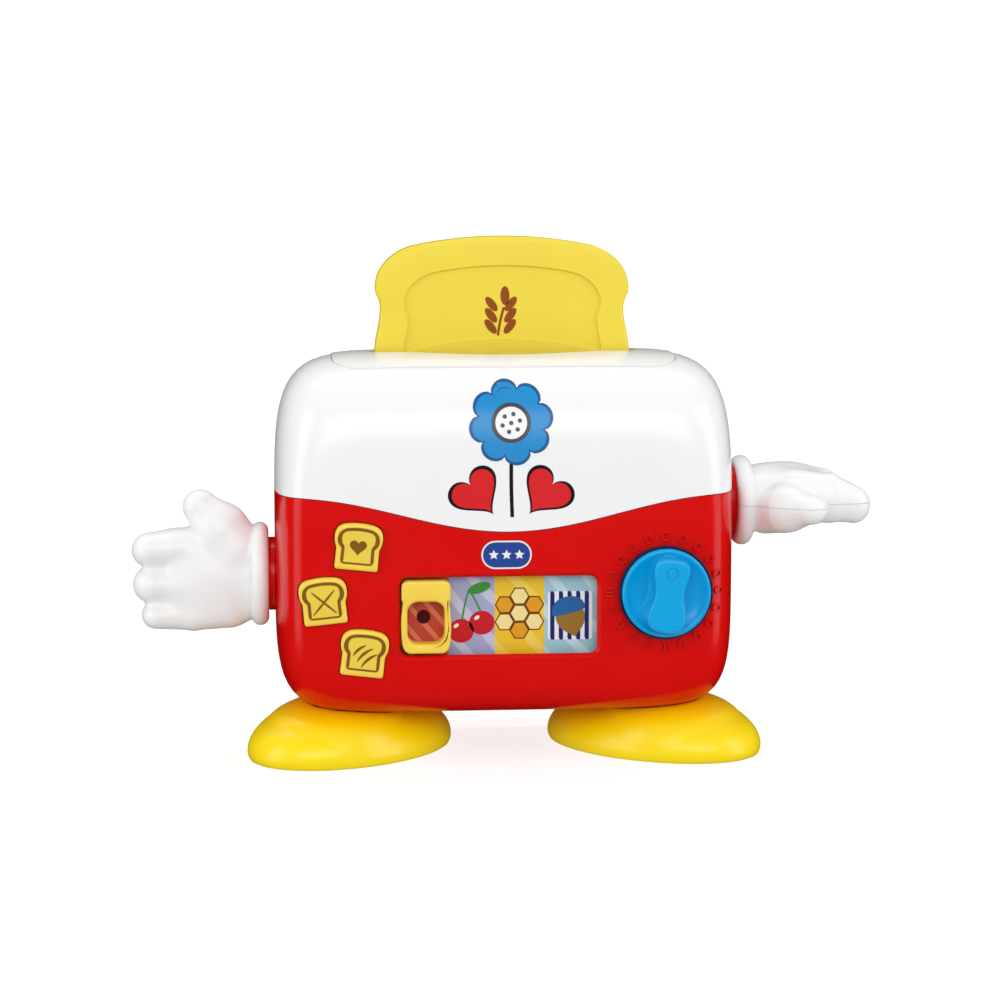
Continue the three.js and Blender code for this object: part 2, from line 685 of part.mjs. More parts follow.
function cardRibs() {
  const back = CARD_FRONT_Y - GAP;
  const rib = (x) => block(x, x + THIN_WALL, -BODY_HALF_DEPTH, back, WINDOW_BOTTOM, WINDOW_TOP);
  return [CARD_LEFT, CARD_RIGHT - THIN_WALL].map((x) => rib(x).intersect(MIDWALL));
}

// A flat round seat for the dial, standing on the curved front.
function knobSeat() {
  const back = -BODY_HALF_DEPTH + 2 * WALL;
  return rodAlongY(KNOB_RADIUS - KNOB_RIM_WIDTH, -BODY_HALF_DEPTH - GAP, back, KNOB_X, KNOB_Z);
}

const POST_PLACES = [WINDOW_LEFT + BUTTON_STEM, WINDOW_RIGHT + 2 * WALL].flatMap((x) =>
  [BOARD_BOTTOM + BUTTON_STEM / 2, BOARD_TOP - 2 * BUTTON_STEM].map((z) => [x, z]));

function addFrontLowerShell() {
  const places = CASE_SCREWS.slice(2);
  const shell = joined(shellPart(false, true), knobSeat(), ...places.map(caseBoss), ...cardRibs(),
    ...POST_PLACES.map(([x, z]) => boardPost(x, z)));
  const buttonHoles = BUTTONS.map((button) =>
    prismAlongY(buttonOutline(button, BUTTON_CLEARANCE), -DEPTH_REACH, BOARD_FRONT_Y / 2));
  const shaftHole = rodAlongY(SHAFT_RADIUS + GAP, -DEPTH_REACH, 0, KNOB_X, KNOB_Z);
  addPiece('front_lower_shell', without(shell, windowCut(), ...buttonHoles, shaftHole,
    ...axleCuts(AXLE_CLEARANCE), ...places.map(caseScrewCuts), ...footPegHoles()), RED);
}

function doorOutline(grow) {
  const half = DOOR_HALF_WIDTH + grow;
  return roundedRectangle(-half, half, DOOR_BOTTOM - grow, DOOR_TOP + grow, DOOR_CORNER + grow);
}

function grilleCuts() {
  const reach = SPEAKER_RADIUS - 2 * GRILLE_SLOT;
  const cuts = [];
  for (let row = 0; row < GRILLE_SLOTS; row += 1) {
    const offset = (row - (GRILLE_SLOTS - 1) / 2) * GRILLE_PITCH;
    const half = Math.sqrt(reach * reach - offset * offset);
    const z = SPEAKER_Z + offset;
    const corner = GRILLE_SLOT * GRILLE_CORNER_SHARE;
    const shape = roundedRectangle(
      SPEAKER_X - half, SPEAKER_X + half, z - GRILLE_SLOT / 2, z + GRILLE_SLOT / 2, corner, 1);
    cuts.push(prismAlongY(shape, 0, DEPTH_REACH));
  }
  return cuts;
}

const SPEAKER_FRONT_Y = BODY_HALF_DEPTH - 3 * WALL;

// The ring inside the back that the speaker's rim lies against.
function speakerRing() {
  const outer = rodAlongY(SPEAKER_RADIUS, SPEAKER_FRONT_Y + GAP, BODY_HALF_DEPTH, SPEAKER_X, SPEAKER_Z);
  const inner = rodAlongY(SPEAKER_RADIUS - THIN_WALL, 0, DEPTH_REACH, SPEAKER_X, SPEAKER_Z);
  return outer.intersect(MIDWALL).subtract(inner);
}

function switchSlot() {
  const x = SWITCH_X - SWITCH_LENGTH / 2 - GAP;
  return block(x, x + SWITCH_LENGTH + SWITCH_TRAVEL + 2 * GAP, 0, DEPTH_REACH,
    SWITCH_Z - SWITCH_HEIGHT / 2 - GAP, SWITCH_Z + SWITCH_HEIGHT / 2 + GAP);
}

function addRearLowerShell() {
  const places = CASE_SCREWS.slice(2);
  const shell = joined(shellPart(false, false), speakerRing(), ...places.map(caseTube));
  const doorway = prismAlongY(doorOutline(GAP), BODY_HALF_DEPTH / 2, DEPTH_REACH);
  addPiece('rear_lower_shell', without(shell, doorway, switchSlot(), ...grilleCuts(),
    ...axleCuts(AXLE_CLEARANCE), ...places.map(caseScrewCuts)), RED);
}

function addTopPanel() {
  const visible = OUTSIDE.subtract(casing(WALL + GAP + PANEL_FLANGE));
  const cover = visible.intersect(prismAlongZ(panelOutline(0), PANEL_FLOOR_Z, CASE_TOP + OVERRUN));
  const rim = CLEAR_INSIDE.subtract(casing(WALL + GAP + PANEL_FLANGE))
    .intersect(prismAlongZ(panelOutline(PANEL_LIP), PANEL_FLOOR_Z, CASE_TOP + OVERRUN));
  const slot = slotSolid(0, true, PANEL_FLOOR_Z, CASE_TOP + OVERRUN);
  addPiece('top_slot_panel', joined(cover, rim).subtract(slot), WHITE);
}

// Toast, carriage, chute and spring

const TOAST_BOTTOM_Z = TOAST_TOP_Z - TOAST_HEIGHT;
const CARRIAGE_BOTTOM_Z = TOAST_BOTTOM_Z - GAP - CARRIAGE_THICKNESS;
const CHUTE_TOP_Z = CASE_TOP - WALL - PANEL_FLANGE;
const CHUTE_HALF_WIDTH = TOAST_HALF_WIDTH + SLOT_CLEARANCE;
const CHUTE_HALF_DEPTH = TOAST_THICKNESS / 2 + SLOT_CLEARANCE;
const CHUTE_BACK_Y = CHUTE_HALF_DEPTH + THIN_WALL;

// The sunk face of the slice, which ends in an arc a little above the slot.
function toastRecess() {
  const outline = toastOutline(-CRUST_WIDTH);
  const face = prismAlongY(outline, -TOAST_THICKNESS, -TOAST_THICKNESS / 2 + FACE_RECESS);
  const radius = RECESS_END_RADIUS;
  const centreZ = RECESS_END_Z - radius;
  const end = rodAlongY(radius, -2 * TOAST_THICKNESS, TOAST_THICKNESS, 0, centreZ, 2 * FINE_SIDES);
  return face.subtract(end);
}

function addToast() {
  const half = TOAST_THICKNESS / 2;
  const slice = prismAlongY(toastOutline(), -half, half, TOAST_EDGE);
  const hollow = prismAlongY(toastOutline(-WALL), -half + FACE_RECESS + THIN_WALL, half - THIN_WALL);
  const cutAt = (front, back) => block(-OVERRUN - TOAST_HALF_WIDTH, OVERRUN + TOAST_HALF_WIDTH, front, back,
    TOAST_BOTTOM_Z - OVERRUN, TOAST_TOP_Z + OVERRUN);
  const front = slice.intersect(cutAt(-TOAST_THICKNESS, -GAP / 2));
  addPiece('toast_front', without(front, toastRecess(), hollow), TOAST_YELLOW);
  addPiece('toast_back', slice.intersect(cutAt(GAP / 2, TOAST_THICKNESS)).subtract(hollow), TOAST_YELLOW);
}

function addCarriage() {
  const halfWidth = TOAST_HALF_WIDTH - WALL;
  const halfDepth = TOAST_THICKNESS / 2;
  const top = CARRIAGE_BOTTOM_Z + CARRIAGE_THICKNESS;
  const plate = block(-halfWidth, halfWidth, -halfDepth, halfDepth, CARRIAGE_BOTTOM_Z, top);
  const reach = CHUTE_HALF_WIDTH + THIN_WALL / 2;
  const tabs = block(-reach, reach, -TAB_HALF_WIDTH, TAB_HALF_WIDTH, CARRIAGE_BOTTOM_Z, top);
  const nub = rodAlongZ(POST_RADIUS, CARRIAGE_BOTTOM_Z - CARRIAGE_THICKNESS, top, 0, 0, SMALL_SIDES);
  addPiece('toast_carriage', joined(plate, tabs, nub), GREY_PLASTIC);
}

function mainBoardPosts() {
  const posts = [];
  for (const x of [-1, 1]) {
    for (const z of [MAIN_BOARD_BOTTOM + 2 * POST_RADIUS, MAIN_BOARD_TOP - 2 * POST_RADIUS]) {
      posts.push(rodAlongY(POST_RADIUS, CHUTE_HALF_DEPTH, CHUTE_BACK_Y + MAIN_BOARD_POST,
        x * (MAIN_BOARD_HALF_WIDTH - 2 * POST_RADIUS), z, SMALL_SIDES));
    }
  }
  return posts;
}

// Sleeve that hangs under the slot, with a floor, a spring post and a guide slot in each end wall.
function addChute() {
  const outer = joined(slotSolid(THIN_WALL, false, CHUTE_FLOOR_Z, CHUTE_TOP_Z),
    slotSolid(THIN_WALL, true, CHUTE_TOP_Z - DIP_WELL_DEPTH - THIN_WALL, CHUTE_TOP_Z));
  const inner = joined(slotSolid(0, false, CHUTE_FLOOR_Z + THIN_WALL, CHUTE_TOP_Z + OVERRUN),
    slotSolid(0, true, CHUTE_TOP_Z - DIP_WELL_DEPTH, CHUTE_TOP_Z + OVERRUN));
  const slotBottom = CARRIAGE_BOTTOM_Z - TOAST_TRAVEL - GAP;
  const slotTop = CARRIAGE_BOTTOM_Z + CARRIAGE_THICKNESS + GAP;
  const reach = CHUTE_HALF_WIDTH + OVERRUN;
  const guides = block(-reach, reach, -TAB_HALF_WIDTH - GAP, TAB_HALF_WIDTH + GAP, slotBottom, slotTop);
  const postTop = CHUTE_FLOOR_Z + THIN_WALL + POST_HEIGHT;
  const post = rodAlongZ(POST_RADIUS, CHUTE_FLOOR_Z, postTop, 0, 0, SMALL_SIDES);
  const sleeve = joined(without(outer, inner, guides), post, ...mainBoardPosts());
  addPiece('toast_chute', sleeve.intersect(casing(WALL + PANEL_FLANGE + 2 * GAP)), WHITE);
}

class Helix extends THREE.Curve {
  constructor(radius, bottom, top, turns) {
    super();
    Object.assign(this, { radius, bottom, top, turns });
  }

  getPoint(share, target = new THREE.Vector3()) {
    const angle = 2 * Math.PI * this.turns * share;
    const height = this.bottom + (this.top - this.bottom) * share;
    return target.set(this.radius * Math.cos(angle), this.radius * Math.sin(angle), height);
  }
}

function circleShape(radius, sides) {
  const points = [];
  for (let side = 0; side < sides; side += 1) {
    const turn = (2 * Math.PI * side) / sides;
    points.push(new THREE.Vector2(radius * Math.cos(turn), radius * Math.sin(turn)));
  }
  return new THREE.Shape(points);
}

function addToastSpring() {
  const bottom = CHUTE_FLOOR_Z + THIN_WALL + GAP + SPRING_WIRE;
  const top = CARRIAGE_BOTTOM_Z - GAP - SPRING_WIRE;
  const extrudePath = new Helix(SPRING_RADIUS, bottom, top, SPRING_TURNS);
  const steps = SPRING_TURNS * SPRING_STEPS;
  const coil = new THREE.ExtrudeGeometry(circleShape(SPRING_WIRE, SPRING_SIDES), { steps, extrudePath });
  addPiece('toast_spring', solidOf(coil), STEEL);
}

// Picture card and selector

function addCard() {
  const bottom = WINDOW_BOTTOM - WALL;
  addPiece('selector_card', block(CARD_LEFT, CARD_RIGHT, CARD_FRONT_Y, CARD_FRONT_Y + CARD_THICKNESS,
    bottom, WINDOW_TOP + WALL), CARD);
}

// A jam jar seen from the front: lid, neck and round-cornered body, as shares of its half width and height.
const JAR_SHARES = [
  { pull: [0.9, 0], end: [0.93, 0.12] }, { pull: [1, 0.4], end: [0.86, 0.68] }, { end: [0.98, 0.74] },
  { end: [0.98, 0.9] }, { pull: [0.98, 1], end: [0.68, 1] }, { end: [0, 1] },
];
const JAR_FOOT_SHARE = 0.62;
const SELECTOR_HOLE_SHARES = { half: 0.74, bottom: 0.13, height: 0.58, corner: 0.4 };

function jarOutline(width, height) {
  const half = width / 2;
  const shape = new THREE.Shape();
  shape.moveTo(0, 0);
  shape.lineTo(half * JAR_FOOT_SHARE, 0);
  for (const { pull, end } of JAR_SHARES) {
    const [x, z] = [end[0] * half, end[1] * height];
    if (pull) shape.quadraticCurveTo(pull[0] * half, pull[1] * height, x, z);
    else shape.lineTo(x, z);
  }
  return mirrored(shape, CORNER_STEPS + 2);
}

const SELECTOR_BOTTOM = (WINDOW_BOTTOM + WINDOW_TOP - SELECTOR_HEIGHT) / 2;
const FLANGE_BACK_Y = CARD_FRONT_Y - GAP;
const FLANGE_FRONT_Y = FLANGE_BACK_Y - SELECTOR_FLANGE;
const TAB_BOTTOM = WINDOW_BOTTOM - 2 * WALL;

function addSelector() {
  const frame = placedShape(jarOutline(SELECTOR_WIDTH, SELECTOR_HEIGHT), SELECTOR_X, SELECTOR_BOTTOM);
  const body = prismAlongY(frame, -BODY_HALF_DEPTH - SELECTOR_PROUD, FLANGE_FRONT_Y + GAP, SELECTOR_EDGE);
  const half = SELECTOR_WIDTH / 2;
  const flange = block(SELECTOR_X - half, SELECTOR_X + half, FLANGE_FRONT_Y, FLANGE_BACK_Y,
    TAB_BOTTOM, WINDOW_TOP + FLANGE_REACH);
  const [left, right] = [SELECTOR_X - half / 2, SELECTOR_X + half / 2];
  const wiperFront = BOARD_FRONT_Y - CONTACT_THICKNESS - GAP;
  const tab = block(left, right, FLANGE_FRONT_Y, wiperFront - GAP, TAB_BOTTOM, TAB_BOTTOM + THIN_WALL);
  const holeHalf = half * SELECTOR_HOLE_SHARES.half;
  const holeBottom = SELECTOR_BOTTOM + SELECTOR_HEIGHT * SELECTOR_HOLE_SHARES.bottom;
  const holeTop = holeBottom + SELECTOR_HEIGHT * SELECTOR_HOLE_SHARES.height;
  const hole = roundedRectangle(SELECTOR_X - holeHalf, SELECTOR_X + holeHalf, holeBottom, holeTop,
    holeHalf * SELECTOR_HOLE_SHARES.corner);
  const opening = prismAlongY(hole, -DEPTH_REACH, CARD_FRONT_Y);
  addPiece('selector_slider', joined(body, flange, tab).subtract(opening), TOAST_YELLOW);
  const wiper = block(left, right, wiperFront, BOARD_FRONT_Y - GAP, TAB_BOTTOM - THIN_WALL,
    TAB_BOTTOM + THIN_WALL);
  addPiece('selector_wiper', wiper, BRASS);
}

// Bread buttons, contact sheet and front board

const STEM_TIP_Y = BOARD_FRONT_Y - PAD_THICKNESS - 2 * GAP - BUTTON_TRAVEL;

function addButtons() {
  const proud = casing(-BUTTON_PROUD, FINE_SIDES, FINE_RINGS);
  const under = casing(BUTTON_DEPTH);
  const flangeSkin = CLEAR_INSIDE.subtract(casing(WALL + GAP + BUTTON_FLANGE));
  for (const button of BUTTONS) {
    const cap = proud.subtract(under).intersect(prismAlongY(buttonOutline(button), -DEPTH_REACH, 0));
    const flange = flangeSkin.intersect(prismAlongY(buttonOutline(button, BUTTON_FLANGE), -DEPTH_REACH, 0));
    const stem = rodAlongY(BUTTON_STEM, -BODY_HALF_DEPTH + WALL, STEM_TIP_Y, button.x, button.z, SMALL_SIDES)
      .intersect(OUTSIDE);
    addPiece(`bread_button_${button.name}`, joined(cap, flange, stem), TOAST_YELLOW);
  }
}

function addButtonPad() {
  const [front, back] = [BOARD_FRONT_Y - PAD_THICKNESS - GAP, BOARD_FRONT_Y - GAP];
  const pads = BUTTONS.map(({ x, z }) => rodAlongY(BUTTON_STEM + PAD_RIM, front, back, x, z, BARREL_SIDES));
  const sheet = new THREE.Shape(BUTTONS.map(({ x, z }) => new THREE.Vector2(x, z)));
  const web = prismAlongY(sheet, front + PAD_THICKNESS / 2, back);
  addPiece('button_pad', joined(web, ...pads), RUBBER);
}

function addFrontBoard() {
  const shape = roundedRectangle(-BOARD_HALF_WIDTH, BOARD_HALF_WIDTH, BOARD_BOTTOM, BOARD_TOP, WALL);
  const board = prismAlongY(shape, BOARD_FRONT_Y, BOARD_FRONT_Y + BOARD_THICKNESS);
  const bosses = CASE_SCREWS.map(({ x, z }) => rodAlongY(BOSS_RADIUS + 2 * GAP, -DEPTH_REACH, 0, x, z));
  addPiece('front_board', without(board.intersect(CLEAR_INSIDE), ...bosses), BOARD);
}

// Dial

const KNOB_BACK_Y = -BODY_HALF_DEPTH - 2 * GAP;
const DIAL_BASE_THICKNESS = 0.8;
const CLICK_FRONT_Y = -BODY_HALF_DEPTH + 2 * WALL + GAP;
const CLICK_BACK_Y = CLICK_FRONT_Y + CLICK_WIDTH;

// The grip's flared ends and waist, as shares of its half length: where the flare is widest and fades.
const GRIP_FLARE_SHARE = 0.58;
const GRIP_CORNER_SHARE = 0.62;

function gripOutline(shrink = 0) {
  const half = GRIP_LENGTH / 2 - shrink;
  const end = GRIP_HALF_WIDTH - shrink;
  const waist = GRIP_WAIST - shrink;
  const flare = half * GRIP_FLARE_SHARE;
  const corner = end * GRIP_CORNER_SHARE;
  const shape = new THREE.Shape();
  shape.moveTo(0, -half);
  shape.bezierCurveTo(corner, -half, end, (-half - flare) / 2, end, -flare);
  shape.bezierCurveTo(end, -flare / 2, waist, -flare / 2, waist, 0);
  shape.bezierCurveTo(waist, flare / 2, end, flare / 2, end, flare);
  shape.bezierCurveTo(end, (half + flare) / 2, corner, half, 0, half);
  return mirrored(shape, CORNER_STEPS + 2);
}

function knobGrip(face, foot) {
  const ring = (shrink, y) => gripOutline(shrink).getPoints().map((p) => new THREE.Vector3(p.x, y, p.y));
  const round = 2 * GRIP_DRAFT;
  const shoulder = ring((GRIP_DRAFT + round) / 2, face + GRIP_DRAFT / 2);
  const rings = [ring(0, foot), ring(GRIP_DRAFT, face + round), shoulder, ring(round, face)];
  const tilt = new THREE.Matrix4().makeRotationY(THREE.MathUtils.degToRad(-KNOB_TILT));
  return solidOf(skinned(rings), new THREE.Matrix4().makeTranslation(KNOB_X, 0, KNOB_Z).multiply(tilt));
}

function addKnob() {
  const back = KNOB_BACK_Y - DIAL_BASE_THICKNESS - GAP;
  const rim = back - KNOB_RIM_HEIGHT;
  const edge = KNOB_RIM_WIDTH;
  const profile = [[0, rim + KNOB_DISH], [KNOB_RADIUS / 2, rim + KNOB_DISH - GAP],
    [KNOB_RADIUS - 2 * edge, rim + KNOB_DISH / 3], [KNOB_RADIUS - edge, rim], [KNOB_RADIUS - edge / 2, rim],
    [KNOB_RADIUS - GAP, rim + edge / 2], [KNOB_RADIUS, back], [0, back]];
  const dish = turnedAlongY(profile, KNOB_X, KNOB_Z, DIAL_SIDES);
  const grip = knobGrip(rim - GRIP_HEIGHT, back - GAP);
  addPiece('knob_cap', joined(dish, grip), BLUE);
}

// Dark ring under the cap, one piece with the shaft that carries the click wheel.
function addDialBase() {
  const front = KNOB_BACK_Y - DIAL_BASE_THICKNESS;
  const rim = KNOB_RADIUS + 2 * GAP;
  const profile = [[0, front], [rim, front], [rim, KNOB_BACK_Y], [SHAFT_RADIUS, KNOB_BACK_Y],
    [SHAFT_RADIUS, CLICK_FRONT_Y - GAP], [SPIGOT_RADIUS, CLICK_FRONT_Y - GAP],
    [SPIGOT_RADIUS, CLICK_BACK_Y - GAP], [0, CLICK_BACK_Y - GAP]];
  const bore = rodAlongY(SCREW_RADIUS - GAP, CLICK_FRONT_Y, 0, KNOB_X, KNOB_Z, SMALL_SIDES);
  addPiece('dial_base', turnedAlongY(profile, KNOB_X, KNOB_Z, DIAL_SIDES).subtract(bore), NAVY);
}

function clickOutline() {
  const points = [];
  for (let step = 0; step < 2 * CLICK_TEETH; step += 1) {
    const turn = (Math.PI * step) / CLICK_TEETH;
    const radius = step % 2 === 0 ? CLICK_RADIUS : CLICK_RADIUS - CLICK_TOOTH;
    points.push(new THREE.Vector2(radius * Math.cos(turn), radius * Math.sin(turn)));
  }
  return new THREE.Shape(points);
}

function addClickWheel() {
  const wheel = prismAlongY(placedShape(clickOutline(), KNOB_X, KNOB_Z), CLICK_FRONT_Y, CLICK_BACK_Y);
  const bore = rodAlongY(SPIGOT_RADIUS + GAP, -DEPTH_REACH, 0, KNOB_X, KNOB_Z, SMALL_SIDES);
  addPiece('click_wheel', wheel.subtract(bore), WHITE);
  const [tip, head, end] = [CLICK_FRONT_Y + GAP, CLICK_BACK_Y + GAP, CLICK_BACK_Y + GAP + SCREW_HEAD / 2];
  const profile = [[0, tip], [SCREW_CORE_RADIUS, tip], [SCREW_CORE_RADIUS, head],
    [SCREW_HEAD_RADIUS + GAP, head], [SCREW_HEAD_RADIUS, end], [0, end]];
  addPiece('knob_screw', turnedAlongY(profile, KNOB_X, KNOB_Z, SMALL_SIDES), STEEL);
}

// A leaf that rides the click wheel's teeth, on the side away from the window.
function addClickSpring() {
  const top = KNOB_Z + CLICK_RADIUS + GAP;
  const reach = CLICK_RADIUS - 3 * GAP;
  const shape = new THREE.Shape();
  shape.moveTo(-reach, top);
  shape.lineTo(-reach / 4, top + GAP);
  shape.lineTo(0, top);
  shape.lineTo(reach / 4, top + GAP);
  shape.lineTo(reach, top);
  shape.lineTo(reach, top + WALL);
  shape.lineTo(reach - THIN_WALL, top + WALL);
  shape.lineTo(reach - THIN_WALL, top + WALL / 2);
  shape.lineTo(-reach + THIN_WALL, top + WALL / 2);
  shape.lineTo(-reach + THIN_WALL, top + WALL);
  shape.lineTo(-reach, top + WALL);
  addPiece('click_spring', prismAlongY(placedShape(shape, KNOB_X, 0), CLICK_FRONT_Y, CLICK_BACK_Y), STEEL);
}

// Hands. In a glove's own frame u leads away from the wrist, v towards the thumb, w to the back of the hand.

function ellipseRing(u, v, w, halfV, halfW, sides, lean = 0) {
  const ring = [];
  for (let side = 0; side < sides; side += 1) {
    const turn = (2 * Math.PI * side) / sides;
    const across = halfV * Math.cos(turn);
    ring.push(new THREE.Vector3(u + lean * across, v + across, w + halfW * Math.sin(turn)));
  }
  return ring;
}

// Places of the glove's sections as shares of the cuff's half width: u, v, w, half width, half thickness.
const PALM_SHARES = [
  [0.30, 0, 0, 0.80, 0.60], [0.60, 0, 0.01, 0.97, 0.69], [1.02, -0.04, 0.02, 1.05, 0.74],
  [1.38, -0.06, 0.0, 0.99, 0.64], [1.62, -0.08, -0.03, 0.86, 0.48],
];
const FINGER_SHARES = [
  { name: 'first', v: 0.49, tip: 2.63, half: 0.36, lean: 0.10 },
  { name: 'second', v: -0.17, tip: 2.62, half: 0.355, lean: 0 },
  { name: 'third', v: -0.74, tip: 2.44, half: 0.28, lean: -0.10 },
];
const THUMB_SHARES = [
  [0.95, 0.55, -0.02, 0.52, 0.5], [1.0, 0.85, -0.05, 0.5, 0.46], [1.12, 1.12, -0.1, 0.42, 0.4],
  [1.26, 1.36, -0.14, 0.34, 0.33], [1.33, 1.52, -0.16, 0.22, 0.22],
];

// Along a finger: place, thickness and droop.
const FINGER_STATION_SHARES = [[0.55, 1, 0], [0.78, 1.03, -0.03], [0.94, 0.82, -0.08], [1, 0.34, -0.1]];
const CUFF_STATION_SHARES = [[0, 0.86], [0.25, 1], [0.75, 1], [1, 0.86]];
const THUMB_LEAN_SHARE = 0.3;

function palmSolid(shrink, sides) {
  const unit = CUFF_HALF_WIDTH;
  const rings = PALM_SHARES.map(([u, v, w, halfV, halfW]) =>
    ellipseRing(u * unit, v * unit, w * unit, halfV * unit - shrink, halfW * unit - shrink, sides));
  return solidOf(skinned(rings));
}

function fingerSolid(finger) {
  const unit = CUFF_HALF_WIDTH;
  const root = FINGER_STATION_SHARES[0][0];
  const rings = FINGER_STATION_SHARES.map(([along, size, drop]) => {
    const u = finger.tip * unit * along;
    const v = (finger.v + finger.lean * (along - root)) * unit;
    const half = finger.half * unit * size;
    return ellipseRing(u, v, drop * unit, half, half, SMALL_SIDES);
  });
  return solidOf(skinned(rings));
}

function thumbSolid() {
  const unit = CUFF_HALF_WIDTH;
  const rings = THUMB_SHARES.map(([u, v, w, halfU, halfW]) => {
    const ring = [];
    for (let side = 0; side < SMALL_SIDES; side += 1) {
      const turn = (2 * Math.PI * side) / SMALL_SIDES;
      const out = halfU * Math.cos(turn);
      const place = new THREE.Vector3(u + out, v - THUMB_LEAN_SHARE * out, w + halfW * Math.sin(turn));
      ring.push(place.multiplyScalar(unit));
    }
    return ring.reverse();
  });
  return solidOf(skinned(rings));
}

function cuffSolid() {
  const rings = CUFF_STATION_SHARES.map(([along, size]) => ellipseRing(
    along * CUFF_LENGTH, 0, 0, CUFF_HALF_WIDTH * size, CUFF_HALF_THICKNESS * size, BARREL_SIDES));
  return solidOf(skinned(rings));
}

function gloveSolid() {
  const fingers = FINGER_SHARES.map(fingerSolid);
  const hand = joined(cuffSolid(), palmSolid(0, BARREL_SIDES), thumbSolid(), ...fingers);
  const bore = rodAlongX(AXLE_RADIUS + GAP, -OVERRUN, 2 * CUFF_LENGTH, 0, 0);
  return hand.subtract(palmSolid(GLOVE_WALL, SMALL_SIDES)).subtract(bore);
}

const GLOVE = gloveSolid();

// Each hand's frame: side is -1 on the left and 1 on the right.
function handFrame(side) {
  const out = new THREE.Vector3(side, 0, 0);
  const thumb = side < 0 ? new THREE.Vector3(0, 0, 1) : new THREE.Vector3(0, -1, 0);
  const back = side < 0 ? new THREE.Vector3(0, 1, 0) : new THREE.Vector3(0, 0, 1);
  const place = new THREE.Matrix4().makeBasis(out, thumb, back);
  const z = side < 0 ? LEFT_WRIST_Z : RIGHT_WRIST_Z;
  return place.setPosition(side * (WRIST_X + HUB_LENGTH + GAP), 0, z);
}

function addGlove(side, name) {
  const reach = 4 * CUFF_HALF_WIDTH;
  const whole = solidOf(geometryOf(GLOVE), handFrame(side));
  const halves = [['palm', -reach, -GAP / 2], ['back', GAP / 2, reach]];
  for (const [half, low, high] of halves) {
    const keep = solidOf(geometryOf(block(-reach, reach, -reach, reach, low, high)), handFrame(side));
    addPiece(`${name}_glove_${half}`, whole.intersect(keep), WHITE);
  }
}

const AXLE_END_X = BODY_HALF_WIDTH - 4 * WALL;

// Turned wrist with its axle through the casing and, outside, through the cuff.
function addHub(side, name, z) {
  const outer = WRIST_X + HUB_LENGTH;
  const nose = outer + CUFF_LENGTH;
  const edge = HUB_LENGTH / 3;
  const profile = [[0, AXLE_END_X], [AXLE_RADIUS, AXLE_END_X], [AXLE_RADIUS, WRIST_X],
    [HUB_RADIUS - edge, WRIST_X], [HUB_RADIUS, WRIST_X + edge], [HUB_RADIUS, outer - edge],
    [HUB_RADIUS - edge, outer], [AXLE_RADIUS, outer], [AXLE_RADIUS, nose], [0, nose]];
  const bore = rodAlongX(SCREW_RADIUS - GAP, 0, BODY_HALF_WIDTH, 0, z, SMALL_SIDES);
  const hub = turnedAlongX(profile, 0, z).subtract(bore);
  addPiece(`${name}_wrist_hub`, mirroredTo(side, hub), RED);
}

function mirroredTo(side, solid) {
  return side > 0 ? solid : solidOf(geometryOf(solid), new THREE.Matrix4().makeScale(-1, 1, 1));
}

// The washer lies inside the casing wall and keeps the axle in.
function addWasher(side, name, z) {
  const seat = AXLE_END_X - GAP;
  const inner = seat - THIN_WALL;
  const outer = BODY_HALF_WIDTH - WALL - WASHER_SETBACK;
  const cup = [[0, inner], [WASHER_RADIUS, inner], [WASHER_RADIUS, outer], [AXLE_RADIUS + GAP, outer],
    [AXLE_RADIUS + GAP, seat], [0, seat]];
  const bore = rodAlongX(SCREW_RADIUS, 0, AXLE_END_X, 0, z, SMALL_SIDES);
  const washer = turnedAlongX(cup, 0, z, BARREL_SIDES).subtract(bore);
  addPiece(`${name}_hub_washer`, mirroredTo(side, washer), GREY_PLASTIC);
  const head = inner - GAP;
  const profile = [[0, head - SCREW_HEAD], [SCREW_HEAD_RADIUS / 2, head - SCREW_HEAD],
    [SCREW_HEAD_RADIUS, head - SCREW_HEAD / 2], [SCREW_HEAD_RADIUS, head], [SCREW_CORE_RADIUS, head],
    [SCREW_CORE_RADIUS, BODY_HALF_WIDTH - WALL / 2], [0, BODY_HALF_WIDTH]];
  addPiece(`${name}_hub_screw`, mirroredTo(side, turnedAlongX(profile, 0, z, SMALL_SIDES)), STEEL);
}

function addHands() {
  for (const [side, name, z] of [[-1, 'left', LEFT_WRIST_Z], [1, 'right', RIGHT_WRIST_Z]]) {
    addGlove(side, name);
    addHub(side, name, z);
    addWasher(side, name, z);
  }
}

// Shoes

function footRing(shrink, size, z, sides) {
  const ring = [];
  const turnOut = THREE.MathUtils.degToRad(FOOT_TURN);
  for (let side = 0; side < sides; side += 1) {
    const turn = (2 * Math.PI * side) / sides;
    const along = (FOOT_HALF_LENGTH - shrink) * size * Math.cos(turn);
    const across = (FOOT_HALF_WIDTH - shrink) * size * Math.sin(turn);
    const x = FOOT_X + along * Math.cos(turnOut) + across * Math.sin(turnOut);
    const y = FOOT_Y - along * Math.sin(turnOut) + across * Math.cos(turnOut);
    ring.push(new THREE.Vector3(x, y, z));
  }
  return ring;
}

function footDome(shrink, floor) {
  const sides = shrink > 0 ? BARREL_SIDES : FOOT_SIDES;
  const rings = FOOT_EDGE_SHARES.map(([size, up]) => footRing(shrink, size, floor + FOOT_RIM_Z * up, sides));
  const levels = shrink > 0 ? HOLLOW_LEVELS : FOOT_LEVELS;
  for (let level = 0; level <= levels; level += 1) {
    const angle = (Math.PI / 2) * (level / levels) * FOOT_CROWN_SHARE;
    const size = Math.cos(angle) ** (2 / FOOT_POWER);
    const rise = Math.sin(angle) ** (2 / FOOT_POWER);
    rings.push(footRing(shrink, size, FOOT_RIM_Z + rise * (FOOT_HEIGHT - shrink - FOOT_RIM_Z), sides));
  }
  return solidOf(skinned(rings));
}

